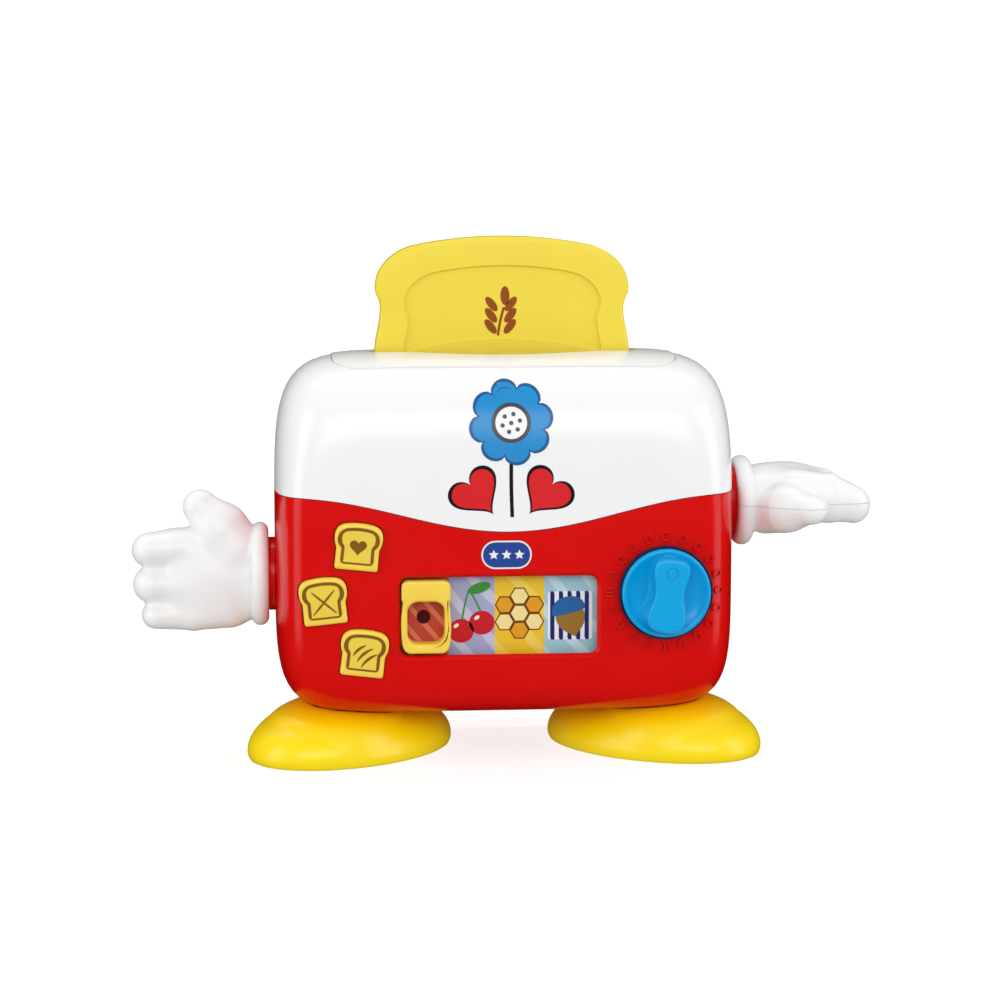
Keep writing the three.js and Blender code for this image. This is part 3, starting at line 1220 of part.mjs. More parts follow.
function footPegHoles() {
  const radius = FOOT_PEG_RADIUS + GAP;
  const hole = (x) => rodAlongZ(radius, -OVERRUN, BODY_CENTRE_Z, x, PEG_Y, BARREL_SIDES);
  return [-PEG_X, PEG_X].map(hole);
}

// Height of the casing's underside over the peg.
function undersideZ(x, y, inset) {
  const halfHeight = BODY_HALF_HEIGHT - inset;
  let [low, high] = [-1, 0];
  for (let pass = 0; pass < ROUND_SIDES; pass += 1) {
    const middle = (low + high) / 2;
    const depth = faceDepth(x / (BODY_HALF_WIDTH - inset), middle, BODY_HALF_DEPTH - inset);
    if (depth > Math.abs(y)) high = middle;
    else low = middle;
  }
  return BODY_CENTRE_Z + low * halfHeight;
}

function addFeet() {
  const seatCut = casing(-GAP, FINE_SIDES, FINE_RINGS);
  const roof = casing(-GAP - WALL);
  const pegTop = undersideZ(PEG_X + FOOT_PEG_RADIUS, PEG_Y - FOOT_PEG_RADIUS, WALL) + WALL - GAP;
  const dome = footDome(0, 0).subtract(seatCut);
  const hollow = footDome(WALL, -GAP).subtract(roof);
  const peg = rodAlongZ(FOOT_PEG_RADIUS, SOLE_THICKNESS + GAP, pegTop, PEG_X, PEG_Y, BARREL_SIDES);
  const bore = rodAlongZ(SCREW_RADIUS - GAP, PEG_BORE_Z, pegTop + OVERRUN, PEG_X, PEG_Y, SMALL_SIDES);
  const foot = joined(dome.subtract(hollow), peg).subtract(bore);
  const soleRing = footRing(WALL + GAP, FOOT_EDGE_SHARES[0][0], 0, BARREL_SIDES);
  const sole = solidOf(skinned([soleRing, soleRing.map((p) => p.clone().setZ(SOLE_THICKNESS))]));
  const washer = pegTop + GAP;
  const head = washer + THIN_WALL / 2;
  const washerRadius = FOOT_PEG_RADIUS + 2 * GAP + THIN_WALL;
  const profile = [[0, PEG_BORE_Z + GAP], [SCREW_CORE_RADIUS, PEG_BORE_Z + GAP], [SCREW_CORE_RADIUS, washer],
    [washerRadius, washer], [washerRadius, head], [SCREW_HEAD_RADIUS, head],
    [SCREW_HEAD_RADIUS, head + SCREW_HEAD], [0, head + SCREW_HEAD]];
  const place = new THREE.Matrix4().makeTranslation(PEG_X, PEG_Y, 0).multiply(ALONG_Y);
  const screw = solidOf(lathed(profile, BARREL_SIDES), place);
  for (const [side, name] of [[-1, 'left'], [1, 'right']]) {
    addPiece(`${name}_foot`, mirroredTo(side, foot), SHOE_YELLOW);
    addPiece(`${name}_sole`, mirroredTo(side, sole), SHOE_YELLOW);
    addPiece(`${name}_foot_screw`, mirroredTo(side, screw), STEEL);
  }
}

// Battery bay

const BAY_HALF_WIDTH = CELL_PITCH * (CELL_COUNT - 1) / 2 + CELL_RADIUS + CELL_SIDE_ROOM;
const CELL_Y = (CHUTE_BACK_Y + BODY_HALF_DEPTH - WALL) / 2 - GAP;
const BAY_FRONT_Y = CELL_Y - CELL_RADIUS - GAP;
const BAY_BOTTOM_Z = CELL_BOTTOM_Z - CONTACT_THICKNESS - 2 * GAP;
const BAY_TOP_Z = CELL_BOTTOM_Z + CELL_LENGTH + CONTACT_THICKNESS + 2 * GAP;
const DOOR_SCREW = { x: 0, z: (BAY_TOP_Z + THIN_WALL + DOOR_TOP) / 2 };
const DOOR_POST_TOP_Y = BODY_HALF_DEPTH - WALL - 2 * GAP - THIN_WALL;

function addBatteryBox() {
  const outer = block(-BAY_HALF_WIDTH - THIN_WALL, BAY_HALF_WIDTH + THIN_WALL, BAY_FRONT_Y - THIN_WALL,
    BODY_HALF_DEPTH, BAY_BOTTOM_Z - THIN_WALL, BAY_TOP_Z + THIN_WALL);
  const inner = block(-BAY_HALF_WIDTH, BAY_HALF_WIDTH, BAY_FRONT_Y, DEPTH_REACH, BAY_BOTTOM_Z, BAY_TOP_Z);
  const wallFront = BAY_FRONT_Y - THIN_WALL;
  const post = rodAlongY(BOSS_RADIUS, wallFront, DOOR_POST_TOP_Y, 0, DOOR_SCREW.z, SMALL_SIDES);
  const foot = block(-BOSS_RADIUS, BOSS_RADIUS, wallFront, BAY_FRONT_Y, BAY_TOP_Z, DOOR_SCREW.z);
  const bore = rodAlongY(SCREW_RADIUS + GAP, BAY_FRONT_Y, DEPTH_REACH, 0, DOOR_SCREW.z, SMALL_SIDES);
  const fit = casing(WALL + GAP + THIN_WALL + GAP);
  const box = joined(outer, post, foot).intersect(fit);
  addPiece('battery_box', without(box, inner, bore), GREY_PLASTIC);
}

function addCells() {
  const nub = CELL_RADIUS / 3;
  for (let cell = 0; cell < CELL_COUNT; cell += 1) {
    const x = (cell - (CELL_COUNT - 1) / 2) * CELL_PITCH;
    const top = CELL_BOTTOM_Z + CELL_LENGTH;
    const shoulder = top - CELL_NUB;
    const profile = [[0, CELL_BOTTOM_Z], [CELL_RADIUS, CELL_BOTTOM_Z], [CELL_RADIUS, shoulder],
      [nub, shoulder], [nub, top], [0, top]];
    const upright = new THREE.Matrix4().makeTranslation(x, CELL_Y, 0).multiply(ALONG_Y);
    const turned = new THREE.Matrix4().makeTranslation(0, 0, 2 * CELL_BOTTOM_Z + CELL_LENGTH)
      .multiply(new THREE.Matrix4().makeScale(1, 1, -1));
    const place = cell % 2 === 0 ? upright : turned.multiply(upright);
    addPiece(`battery_${cell + 1}`, solidOf(lathed(profile, BARREL_SIDES), place), CELL_GREEN);
  }
  const reach = BAY_HALF_WIDTH - GAP;
  const plate = (bottom) => block(-reach, reach, BAY_FRONT_Y + GAP, CELL_Y + CELL_RADIUS / 2, bottom,
    bottom + CONTACT_THICKNESS);
  addPiece('battery_contact_bottom', plate(BAY_BOTTOM_Z + GAP), STEEL);
  addPiece('battery_contact_top', plate(BAY_TOP_Z - GAP - CONTACT_THICKNESS), STEEL);
}

function addDoor() {
  const skin = SHELL.intersect(prismAlongY(doorOutline(0), BODY_HALF_DEPTH / 2, DEPTH_REACH));
  const well = rodAlongY(BOSS_RADIUS, DOOR_POST_TOP_Y + GAP, BODY_HALF_DEPTH, 0, DOOR_SCREW.z, SMALL_SIDES)
    .intersect(OUTSIDE);
  const floor = BODY_HALF_DEPTH - WALL;
  const head = rodAlongY(SCREW_HEAD_RADIUS + GAP, floor, DEPTH_REACH, 0, DOOR_SCREW.z, SMALL_SIDES);
  const hole = rodAlongY(SCREW_RADIUS + GAP, 0, DEPTH_REACH, 0, DOOR_SCREW.z, SMALL_SIDES);
  addPiece('battery_door', without(skin.add(well), head, hole), RED);
  addPiece('door_screw', screwAlongY(DOOR_SCREW, BAY_FRONT_Y + DOOR_SCREW_TIP, floor + GAP), STEEL);
}

// Speaker, switch and main board

function addSpeaker() {
  const back = SPEAKER_FRONT_Y;
  const front = back - SPEAKER_DEPTH;
  const floor = front + MAGNET_DEPTH + 2 * SPEAKER_SHEET;
  const magnet = SPEAKER_RADIUS / 2;
  const seat = SPEAKER_RADIUS - SPEAKER_RIM;
  const core = magnet - SPEAKER_RIM;
  const frame = [[0, front], [magnet, front], [magnet, front + MAGNET_DEPTH], [seat, back - SPEAKER_RIM],
    [SPEAKER_RADIUS, back - SPEAKER_RIM], [SPEAKER_RADIUS, back], [seat + SPEAKER_SHEET, back],
    [seat, back - SPEAKER_SHEET], [core, floor], [0, floor]];
  const basket = turnedAlongY(frame, SPEAKER_X, SPEAKER_Z).intersect(casing(WALL + GAP));
  addPiece('speaker_frame', basket, STEEL);
  const cone = [[0, floor + GAP], [core - GAP, floor + GAP],
    [seat - SPEAKER_SHEET / 2, back - SPEAKER_SHEET + GAP], [seat, back], [seat - 2 * SPEAKER_SHEET, back],
    [core - SPEAKER_SHEET, floor + 2 * SPEAKER_SHEET], [0, floor + SPEAKER_RIM]];
  addPiece('speaker_cone', turnedAlongY(cone, SPEAKER_X, SPEAKER_Z), RUBBER);
}

function addPowerSwitch() {
  const inner = BODY_HALF_DEPTH - 2 * WALL;
  const left = SWITCH_X - SWITCH_LENGTH / 2;
  const right = left + SWITCH_LENGTH;
  const low = SWITCH_Z - SWITCH_HEIGHT / 2;
  const high = SWITCH_Z + SWITCH_HEIGHT / 2;
  const knob = block(left, right, inner, BODY_HALF_DEPTH + SWITCH_PROUD, low, high);
  const foot = block(left - GAP, right + GAP, inner - THIN_WALL, inner, low - SWITCH_LIP, high + SWITCH_LIP);
  addPiece('power_slider', knob.add(foot), NAVY);
  const base = inner - THIN_WALL - GAP;
  const wall = SWITCH_LIP + SWITCH_WALL;
  const housing = block(left - SWITCH_WALL, right + SWITCH_TRAVEL + SWITCH_WALL, base - SWITCH_BASE,
    inner - WALL / 4, low - wall, high + wall);
  const lip = SWITCH_LIP + GAP;
  const end = right + SWITCH_TRAVEL + 2 * GAP;
  const track = block(left - 2 * GAP, end, base, DEPTH_REACH, low - lip, high + lip);
  addPiece('switch_housing', housing.subtract(track), GREY_PLASTIC);
}

function addMainBoard() {
  const front = CHUTE_BACK_Y + MAIN_BOARD_POST + GAP;
  const heightAt = (share) => MAIN_BOARD_BOTTOM + (MAIN_BOARD_TOP - MAIN_BOARD_BOTTOM) * share;
  const board = block(-MAIN_BOARD_HALF_WIDTH, MAIN_BOARD_HALF_WIDTH, front, front + BOARD_THICKNESS,
    MAIN_BOARD_BOTTOM, MAIN_BOARD_TOP);
  const face = front + BOARD_THICKNESS - GAP;
  const chip = block(-CHIP_HALF_WIDTH, CHIP_HALF_WIDTH, face, face + CHIP_HEIGHT,
    heightAt(CHIP_BOTTOM_SHARE), heightAt(CHIP_TOP_SHARE));
  const capacitor = rodAlongY(
    CAPACITOR_RADIUS, face, face + CAPACITOR_HEIGHT, CAPACITOR_X, heightAt(CAPACITOR_SHARE),
    SMALL_SIDES);
  const socket = block(SOCKET_LEFT, SOCKET_RIGHT, face, face + SOCKET_HEIGHT,
    heightAt(SOCKET_BOTTOM_SHARE), heightAt(SOCKET_TOP_SHARE));
  addPiece('main_board', joined(board, chip, capacitor, socket), BOARD);
}

addFrontLowerShell();
addRearLowerShell();
addUpperShells();
addTopPanel();
addToast();
addCarriage();
addChute();
addToastSpring();
addCard();
addSelector();
addButtons();
addButtonPad();
addFrontBoard();
addKnob();
addDialBase();
addClickWheel();
addClickSpring();
addHands();
addFeet();
addBatteryBox();
addCells();
addDoor();
addSpeaker();
addPowerSwitch();
addMainBoard();
addCaseScrews();

// The origin lies under the middle of the toy's depth, from the dial's grip to the switch at the back.
const FRONT_REACH = KNOB_RIM_HEIGHT + GRIP_HEIGHT + DIAL_BASE_THICKNESS + GAP - KNOB_BACK_Y;
object.position.y = (FRONT_REACH - BODY_HALF_DEPTH - SWITCH_PROUD) / 2;

export default object;
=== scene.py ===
import json
from math import cos, hypot, pi, radians, sin, sqrt

import bpy
import numpy as np
from mathutils import Matrix, Vector


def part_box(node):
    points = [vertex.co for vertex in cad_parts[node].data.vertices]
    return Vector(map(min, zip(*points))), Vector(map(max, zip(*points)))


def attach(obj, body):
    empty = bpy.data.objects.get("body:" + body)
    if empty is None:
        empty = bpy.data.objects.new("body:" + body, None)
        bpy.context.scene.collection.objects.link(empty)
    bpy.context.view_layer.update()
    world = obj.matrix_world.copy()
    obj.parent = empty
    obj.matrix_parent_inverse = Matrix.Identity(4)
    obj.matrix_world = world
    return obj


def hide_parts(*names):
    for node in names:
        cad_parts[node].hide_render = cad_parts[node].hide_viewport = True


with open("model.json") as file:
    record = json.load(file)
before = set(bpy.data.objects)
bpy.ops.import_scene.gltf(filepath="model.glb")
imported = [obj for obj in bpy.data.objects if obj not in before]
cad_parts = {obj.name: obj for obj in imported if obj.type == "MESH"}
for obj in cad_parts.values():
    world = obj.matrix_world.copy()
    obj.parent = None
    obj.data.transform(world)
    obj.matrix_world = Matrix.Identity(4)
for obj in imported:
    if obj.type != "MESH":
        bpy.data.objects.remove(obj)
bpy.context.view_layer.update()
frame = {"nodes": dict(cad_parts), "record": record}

bl_info = {
    "name": "Toy toaster",
    "version": (1, 0, 0),
    "blender": (4, 5, 0),
    "location": "3D View > Sidebar > Toaster",
    "description": "Shapes and finishes the visible pieces of a toy toaster round its packed frame",
    "category": "Object",
}

# Pieces are shaped in millimetres, with y 0 at the casing's middle plane. They are settled into the frame
# in metres.
MM = 0.001
MIDDLE_Y = (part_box("toast_front")[0].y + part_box("toast_back")[1].y) / 2
FRONT, BACK = -1, 1

# The casing's swollen box, as in the frame: powers of its outline and of its faces.
SIDE_POWER = 8.6
TOP_POWER = 4.5
BOTTOM_POWER = 6.2
FACE_POWER = 2.5
TOP_SWELL = 1
BOTTOM_SWELL = 2.15
SEAM_MIDDLE_Z = 104
SEAM_SIDE_Z = 119.3
SEAM_HALF_SPAN = 95
GAP = 0.3
WELD = 0.002
WALL = 2.4
COARSE = (96, 48)

# Where cutters begin and end: along z for the top, and along y for the rest.
CUT_TOP, CUT_FRONT, CUT_BACK = (140, 220), (-60, -30), (30, 60)
CUT_WINDOW, CUT_DOOR = (-60, -38), (20, 60)

WINDOW = (-48.0, 38.3, 49.8, 84.2)
WINDOW_CORNER = 3.4
TILE_EDGES = (-49.5, -26.6, -6.3, 15.6, 39.8)
PANEL, PANEL_CORNER = (-76, 76, -27, 27), 13
DOOR, DOOR_CORNER, DOOR_SCREW_Z = (-29, 29, 31, 98), 4, 92.7
SWITCH_SLOT = (-65.3, -54.7, 61.2, 66.8)
GRILLE_X = GRILLE_Z = 64
GRILLE_RADIUS, GRILLE_PITCH = 16, 4.6
BUTTON_ROOM = 0.45
BUTTONS = (("upper", -66.2, 98.4, -6), ("middle", -81.2, 74.7, 6), ("lower", -63.9, 51.6, -7))
KNOB_PLACE = (68.1, 76.8)
KNOB_TILT = -6.5
MARK_CIRCLE = 24.4
SCREW_PLACES = ((-84, 146), (84, 146), (-86, 42), (86, 42))
SCREW_WELL, SCREW_TUBE = 3.15, 4.0
WRISTS = (("left", -1, 80.0), ("right", 1, 111.0))
WRIST_FACE = 104.7
TOAST_FOOT_Z, TOAST_HALF_WIDTH, TOAST_HEIGHT = 128.5, 57, 102
TOAST_RIM = 12.8
RECESS_RADIUS, RECESS_END_Z = 171, 184.7
TOAST_FACE, TOAST_RECESS = -6.0, -4.8
CARD_Y = -39.0
SHOE_TURN, SHOE_HALF_LENGTH, SHOE_HALF_WIDTH, SHOE_X = 44, 53.6, 37, 68.7


def linear(code, alpha=1.0):
    """An sRGB hex code as a linear colour."""
    values = [int(code[i:i + 2], 16) / 255 for i in (1, 3, 5)]
    return (*[v / 12.92 if v <= 0.04045 else ((v + 0.055) / 1.055) ** 2.4 for v in values], alpha)


def length(name, description, default):
    return bpy.props.FloatProperty(name=name, description=description, default=default, min=0.0,
                                   subtype="DISTANCE", unit="LENGTH", precision=4)


def tint(name, description, code):
    return bpy.props.FloatVectorProperty(name=name, description=description, default=linear(code),
                                         size=4, min=0.0, max=1.0, subtype="COLOR")


class ToasterSizes(bpy.types.PropertyGroup):
    half_width: length("Half width", "Half of the casing's width", 0.102)
    half_height: length("Half height", "Half of the casing's height", 0.08)
    half_depth: length("Half depth", "Half of the casing's depth", 0.046)
    centre_height: length("Centre height", "Height of the casing's middle", 0.0995)
    panel_rise: length("Panel rise", "How far the top panel stands above the casing", 0.0005)
    button_rise: length("Button rise", "How far a bread button stands proud", 0.0026)
    print_rise: length("Print rise", "Thickness of a pad-printed layer", 0.00006)
    mark_rise: length("Mark rise", "How far the dial's moulded marks stand proud", 0.0009)
    knob_radius: length("Dial radius", "Radius of the blue dial", 0.0196)
    cuff_half_width: length("Cuff half width", "Half of a glove cuff's larger width", 0.0233)
    cuff_tube: length("Cuff roll", "Radius of the roll at a glove's cuff", 0.0039)
    shoe_mound: length("Instep rise", "How far the instep swells out of the shoe", 0.0016)


class ToasterColours(bpy.types.PropertyGroup):
    red: tint("Red", "Lower casing", "#DA0200")
    white: tint("White", "Upper casing and gloves", "#F4F4F4")
    toast: tint("Toast", "Slice of toast", "#F5DC3C")
    control: tint("Control yellow", "Bread buttons and selector", "#FCD84E")
    shoe: tint("Shoe yellow", "Shoes", "#FFE000")
    shoe_deep: tint("Shoe orange", "Shoes, where their plastic is thickest", "#FFB400")
    # Painted shade: the orange the shoes turn towards their tops, where they lie under the casing.
    knob: tint("Dial blue", "Dial", "#00A9E8")
    navy: tint("Navy", "Dial ring and switch", "#0A1A50")
    brown: tint("Toast brown", "Brown print", "#8A5A10")


def sizes():
    return bpy.context.scene.toaster_sizes


def colours():
    return bpy.context.scene.toaster_colours


# Outlines, as lists of (x, z)


def drawn(first, *strokes, steps=8):
    """Points along straight (1 point), quadratic (2) and cubic (3) strokes from the first point."""
    points = [first]
    for stroke in strokes:
        control = [points[-1], *stroke]
        count = 1 if len(stroke) == 1 else steps
        for step in range(1, count + 1):
            row, t = control, step / count
            while len(row) > 1:
                row = [(a[0] + (b[0] - a[0]) * t, a[1] + (b[1] - a[1]) * t) for a, b in zip(row, row[1:])]
            points.append(row[0])
    return points


def both_sides(right):
    """A right half from the bottom middle to the top middle, closed by its mirror image."""
    return right + [(-x, z) for x, z in reversed(right[1:-1])]


def evenly(outline, count):
    """The closed outline again, with evenly spread points."""
    points = np.array([*outline, outline[0]])
    run = np.concatenate([[0], np.cumsum(np.linalg.norm(np.diff(points, axis=0), axis=1))])
    at = np.arange(count) * run[-1] / count
    return list(zip(np.interp(at, run, points[:, 0]), np.interp(at, run, points[:, 1])))


def grown(outline, amount):
    """The closed outline, which runs anticlockwise, moved outwards by the amount."""
    points = np.array(outline)
    ahead = np.roll(points, -1, 0) - np.roll(points, 1, 0)
    ahead /= np.linalg.norm(ahead, axis=1)[:, None]
    return [(x + dz * amount, z - dx * amount) for (x, z), (dx, dz) in zip(points, ahead)]


def placed(outline, x, z, degrees=0.0, scale=1.0):
    turn = radians(degrees)
    c, s = scale * cos(turn), scale * sin(turn)
    return [(x + c * px - s * pz, z + s * px + c * pz) for px, pz in outline]


def regular(radius, corners, first=0.0):
    """Corners spread evenly on a circle, the first one at so many degrees."""
    turns = [radians(first) + 2 * pi * i / corners for i in range(corners)]
    return [(radius * cos(t), radius * sin(t)) for t in turns]


def oval(half_x, half_z, count=32):
    return [(half_x * x, half_z * z) for x, z in regular(1, count)]


def rounded(x0, x1, z0, z1, radius, steps=8):
    """A rectangle with round corners."""
    points = []
    corners = ((x1 - radius, z0 + radius), (x1 - radius, z1 - radius),
               (x0 + radius, z1 - radius), (x0 + radius, z0 + radius))
    for corner, (x, z) in enumerate(corners):
        for step in range(steps + 1):
            turn = pi / 2 * (corner - 1 + step / steps)
            points.append((x + radius * cos(turn), z + radius * sin(turn)))
    return points


def widened(box, corner, amount=0.0):
    """A rectangle (x0, x1, z0, z1) with round corners, moved outwards by the amount."""
    x0, x1, z0, z1 = box
    return rounded(x0 - amount, x1 + amount, z0 - amount, z1 + amount, corner + amount)


def bread(half_width, height, steps=8):
    """A slice of bread with its foot at height 0: straight sides, a waist, two lobes and a low crown."""
    w, h, foot = half_width, height, 0.1 * half_width
    right = drawn(
        (0, 0), ((w - foot, 0),), ((w, 0), (w, foot)), ((w, 0.47 * h),),
        ((w, 0.56 * h), (0.951 * w, 0.62 * h), (0.951 * w, 0.69 * h)),
        ((0.951 * w, 0.725 * h), (0.992 * w, 0.74 * h), (0.992 * w, 0.775 * h)),
        ((0.992 * w, 0.87 * h), (0.86 * w, 0.93 * h), (0.72 * w, 0.957 * h)),
        ((0.5 * w, 0.985 * h), (0.25 * w, h), (0, h)), steps=steps)
    return both_sides(right)


def slice_badge(half_width, height, leg):
    """The buttons' slice: legs that are a share of the lobes' width, with its foot at height 0."""
    w, h, x = half_width, height, leg * half_width
    right = drawn(
        (0, 0), ((x - 0.13 * w, 0),), ((x, 0), (x, 0.13 * w)), ((0.99 * x, 0.42 * h),),
        ((0.99 * x, 0.52 * h), (w, 0.5 * h), (w, 0.7 * h)),
        ((w, 0.86 * h), (0.84 * w, 0.925 * h), (0.66 * w, 0.962 * h)),
        ((0.45 * w, 0.99 * h), (0.2 * w, h), (0, h)))
    return both_sides(right)


def jar(width, height):
    """A jam jar seen from the front, with its foot at height 0."""
    h, w = height, width / 2
    right = drawn(
        (0, 0), ((0.6 * w, 0),), ((0.88 * w, 0), (0.95 * w, 0.12 * h)),
        ((1.06 * w, 0.4 * h), (0.93 * w, 0.69 * h)),
        ((0.94 * w, 0.72 * h), (0.98 * w, 0.74 * h)), ((0.98 * w, 0.9 * h),),
        ((0.98 * w, h), (0.68 * w, h)), ((0, h),))
    return both_sides(right)


def heart(size):
    """A heart as wide as the size, with its middle at the origin."""
    points = []
    for step in range(64):
        t = 2 * pi * step / 64
        x = 16 * sin(t) ** 3
        z = 13 * cos(t) - 5 * cos(2 * t) - 2 * cos(3 * t) - cos(4 * t)
        points.append((-x * size / 32, (z + 2) * size / 32))
    return points


def roll(steps):
    """For each step round an edge: how far it is still below the face, and how far it has come in."""
    turns = [pi / 2 * step / steps for step in range(steps + 1)]
    return [(1 - sin(t), 1 - cos(t)) for t in turns]


def blossom(radius, petals, dip):
    """A flower's outline: round petals with a dip between each two."""
    points = []
    for step in range(16 * petals):
        turn = 2 * pi * step / (16 * petals)
        reach = radius * (1 - dip + dip * abs(cos(petals * turn / 2)) ** 0.6)
        points.append((reach * cos(turn), reach * sin(turn)))
    return points


# The casing's surface


def half_sizes(inset):
    s = sizes()
    return [v / MM - inset for v in (s.half_width, s.half_height, s.half_depth)]


def fullness(x, z, inset):
    """0 in the middle of the casing's front view, and 1 along its rim."""
    width, height, _ = half_sizes(inset)
    up = (np.asarray(z, float) - sizes().centre_height / MM) / height
    power = np.where(up > 0, TOP_POWER, BOTTOM_POWER)
    rise = np.clip(up, 0, 1)
    swell = BOTTOM_SWELL + (TOP_SWELL - BOTTOM_SWELL) * rise ** 2 * (3 - 2 * rise)
    return (np.abs(np.asarray(x, float) / width) ** SIDE_POWER + np.abs(up) ** power) ** swell


def depth_at(x, z, inset=0.0):
    """Distance from the middle plane to the casing's face."""
    depth = half_sizes(inset)[2]
    return depth * np.clip(1 - fullness(x, z, inset), 0, None) ** (1 / FACE_POWER)


def front_face(x, z, lift=0.0):
    """The casing's front, or a face that stands proud of it."""
    return -float(depth_at(x, z, -lift))


def flat(y):
    """A flat face at depth y, for prints and pads."""
    return lambda x, z: y


def seam_height(x):
    share = min(abs(x) / SEAM_HALF_SPAN, 1)
    return SEAM_MIDDLE_Z + (SEAM_SIDE_Z - SEAM_MIDDLE_Z) * (1 - cos(pi * share)) / 2


# Modelling


def start():
    """Object mode with nothing selected, as every new primitive needs."""
    if bpy.context.mode != "OBJECT":
        bpy.ops.object.mode_set(mode="OBJECT")
    bpy.ops.object.select_all(action="DESELECT")


def select_only(piece):
    start()
    piece.select_set(True)
    bpy.context.view_layer.objects.active = piece


def fresh(kind, **settings):
    """A new primitive, added with nothing else selected."""
    start()
    getattr(bpy.ops.mesh, f"primitive_{kind}_add")(**settings)
    return bpy.context.object


def edited(piece, *steps):
    """Takes the whole piece through steps of edit mode, each an operator's name and its settings."""
    select_only(piece)
    bpy.ops.object.mode_set(mode="EDIT")
    bpy.ops.mesh.select_all(action="SELECT")
    for name, settings in steps:
        getattr(bpy.ops.mesh, name)(**settings)
    bpy.ops.object.mode_set(mode="OBJECT")
    return piece


def modified(piece, kind, **settings):
    """Applies a modifier to a piece."""
    select_only(piece)
    modifier = piece.modifiers.new(kind.lower(), kind)
    for key, value in settings.items():
        setattr(modifier, key, value)
    bpy.ops.object.modifier_apply(modifier=modifier.name)
    return piece


def points_of(piece):
    points = np.empty(len(piece.data.vertices) * 3, np.float32)
    piece.data.vertices.foreach_get("co", points)
    return points.reshape(-1, 3).astype(float)


def put_points(piece, points):
    piece.data.vertices.foreach_set("co", np.asarray(points, np.float32).ravel())
    piece.data.update()


def tidy(piece):
    """Welds what touches and turns every face outwards."""
    return edited(piece, ("remove_doubles", {"threshold": WELD}),
                  ("normals_make_consistent", {"inside": False}))


def wrapped(rings, loop=False):
    """A closed skin through rings of points: a grid is added, laid over the rings and welded shut."""
    around = len(rings[0])
    rows = [*rings, rings[0]] if loop else [
        [np.mean(rings[0], axis=0)] * around, *rings, [np.mean(rings[-1], axis=0)] * around]
    skin = fresh("grid", x_subdivisions=around, y_subdivisions=len(rows) - 1)
    put_points(skin, [p for row in rows for p in (*row, row[0])])
    return tidy(skin)


def prism(outline, front, back):
    """A flat outline drawn out along Y."""
    form = fresh("circle", vertices=len(outline), fill_type="NGON")
    put_points(form, [(x, front, z) for x, z in outline])
    drawn_out = {"TRANSFORM_OT_translate": {"value": (0, back - front, 0)}}
    return tidy(edited(form, ("extrude_region_move", drawn_out)))


def upright_prism(outline, bottom, top):
    """An outline seen from above, drawn out along Z."""
    form = prism(outline, bottom, top)
    points = points_of(form)
    put_points(form, points[:, [0, 2, 1]])
    return tidy(form)


def turned(profile, x, z, sides=64, sideways=False):
    """A form turned about a line along Y, or sideways along X, by a profile of (radius, place along it)."""
    rings = []
    for radius, along in profile:
        circle = oval(radius, radius, sides)
        rings.append([(along, x + px, z + pz) if sideways else (x + px, along, z + pz) for px, pz in circle])
    return wrapped(rings)


def drawn_in(outline, share):
    """The outline shrunk to a share of its size about its middle."""
    cx, cz = np.mean(outline, axis=0)
    return [(cx + (x - cx) * share, cz + (z - cz) * share) for x, z in outline]


def pillow(outline, base, face, edge, steps=4, fill=(0.85, 0.65, 0.4, 0.2)):
    """A pad with a rounded rim, from the depth base to a face that follows a surface: y = face(x, z)."""
    rings = [[(x, base, z) for x, z in outline]]
    for below, inwards in roll(steps):
        rim = grown(outline, -edge * inwards)
        rings.append([(x, face(x, z) + edge * below, z) for x, z in rim])
    rings += [[(x, face(x, z), z) for x, z in drawn_in(rim, share)] for share in (*fill, 0)]
    return wrapped(rings)


def printed(outline, face, layer=1):
    """A printed film: its underside follows the surface too, a little below it."""
    rise = sizes().print_rise / MM
    rings = []
    for share in (1, 0.8, 0.6, 0.4, 0.2):
        inner = drawn_in(outline, share)
        rings.append([(x, face(x, z) - rise * layer, z) for x, z in inner])
        rings.insert(0, [(x, face(x, z) + rise, z) for x, z in inner])
    return wrapped(rings)


def stamp(outline, x, z, face, layer=1, degrees=0.0):
    """A printed film at a place."""
    return printed(placed(outline, x, z, degrees), face, layer)


def ribbon(line, halves, face, layer=1, loop=False):
    """A printed stroke along a line, with a half width at each point."""
    rise = sizes().print_rise / MM
    points = np.array(line, float)
    ahead = np.gradient(points, axis=0)
    if loop:
        ahead = np.roll(points, -1, 0) - np.roll(points, 1, 0)
    ahead /= np.linalg.norm(ahead, axis=1)[:, None]
    rings = []
    for (x, z), (dx, dz), half in zip(points, ahead, halves):
        left, right = (x - dz * half, z + dx * half), (x + dz * half, z - dx * half)
        rings.append([(px, face(px, pz) + depth, pz) for (px, pz), depth in (
            (left, rise), (left, -rise * layer), (right, -rise * layer), (right, rise))])
    return wrapped(rings, loop)


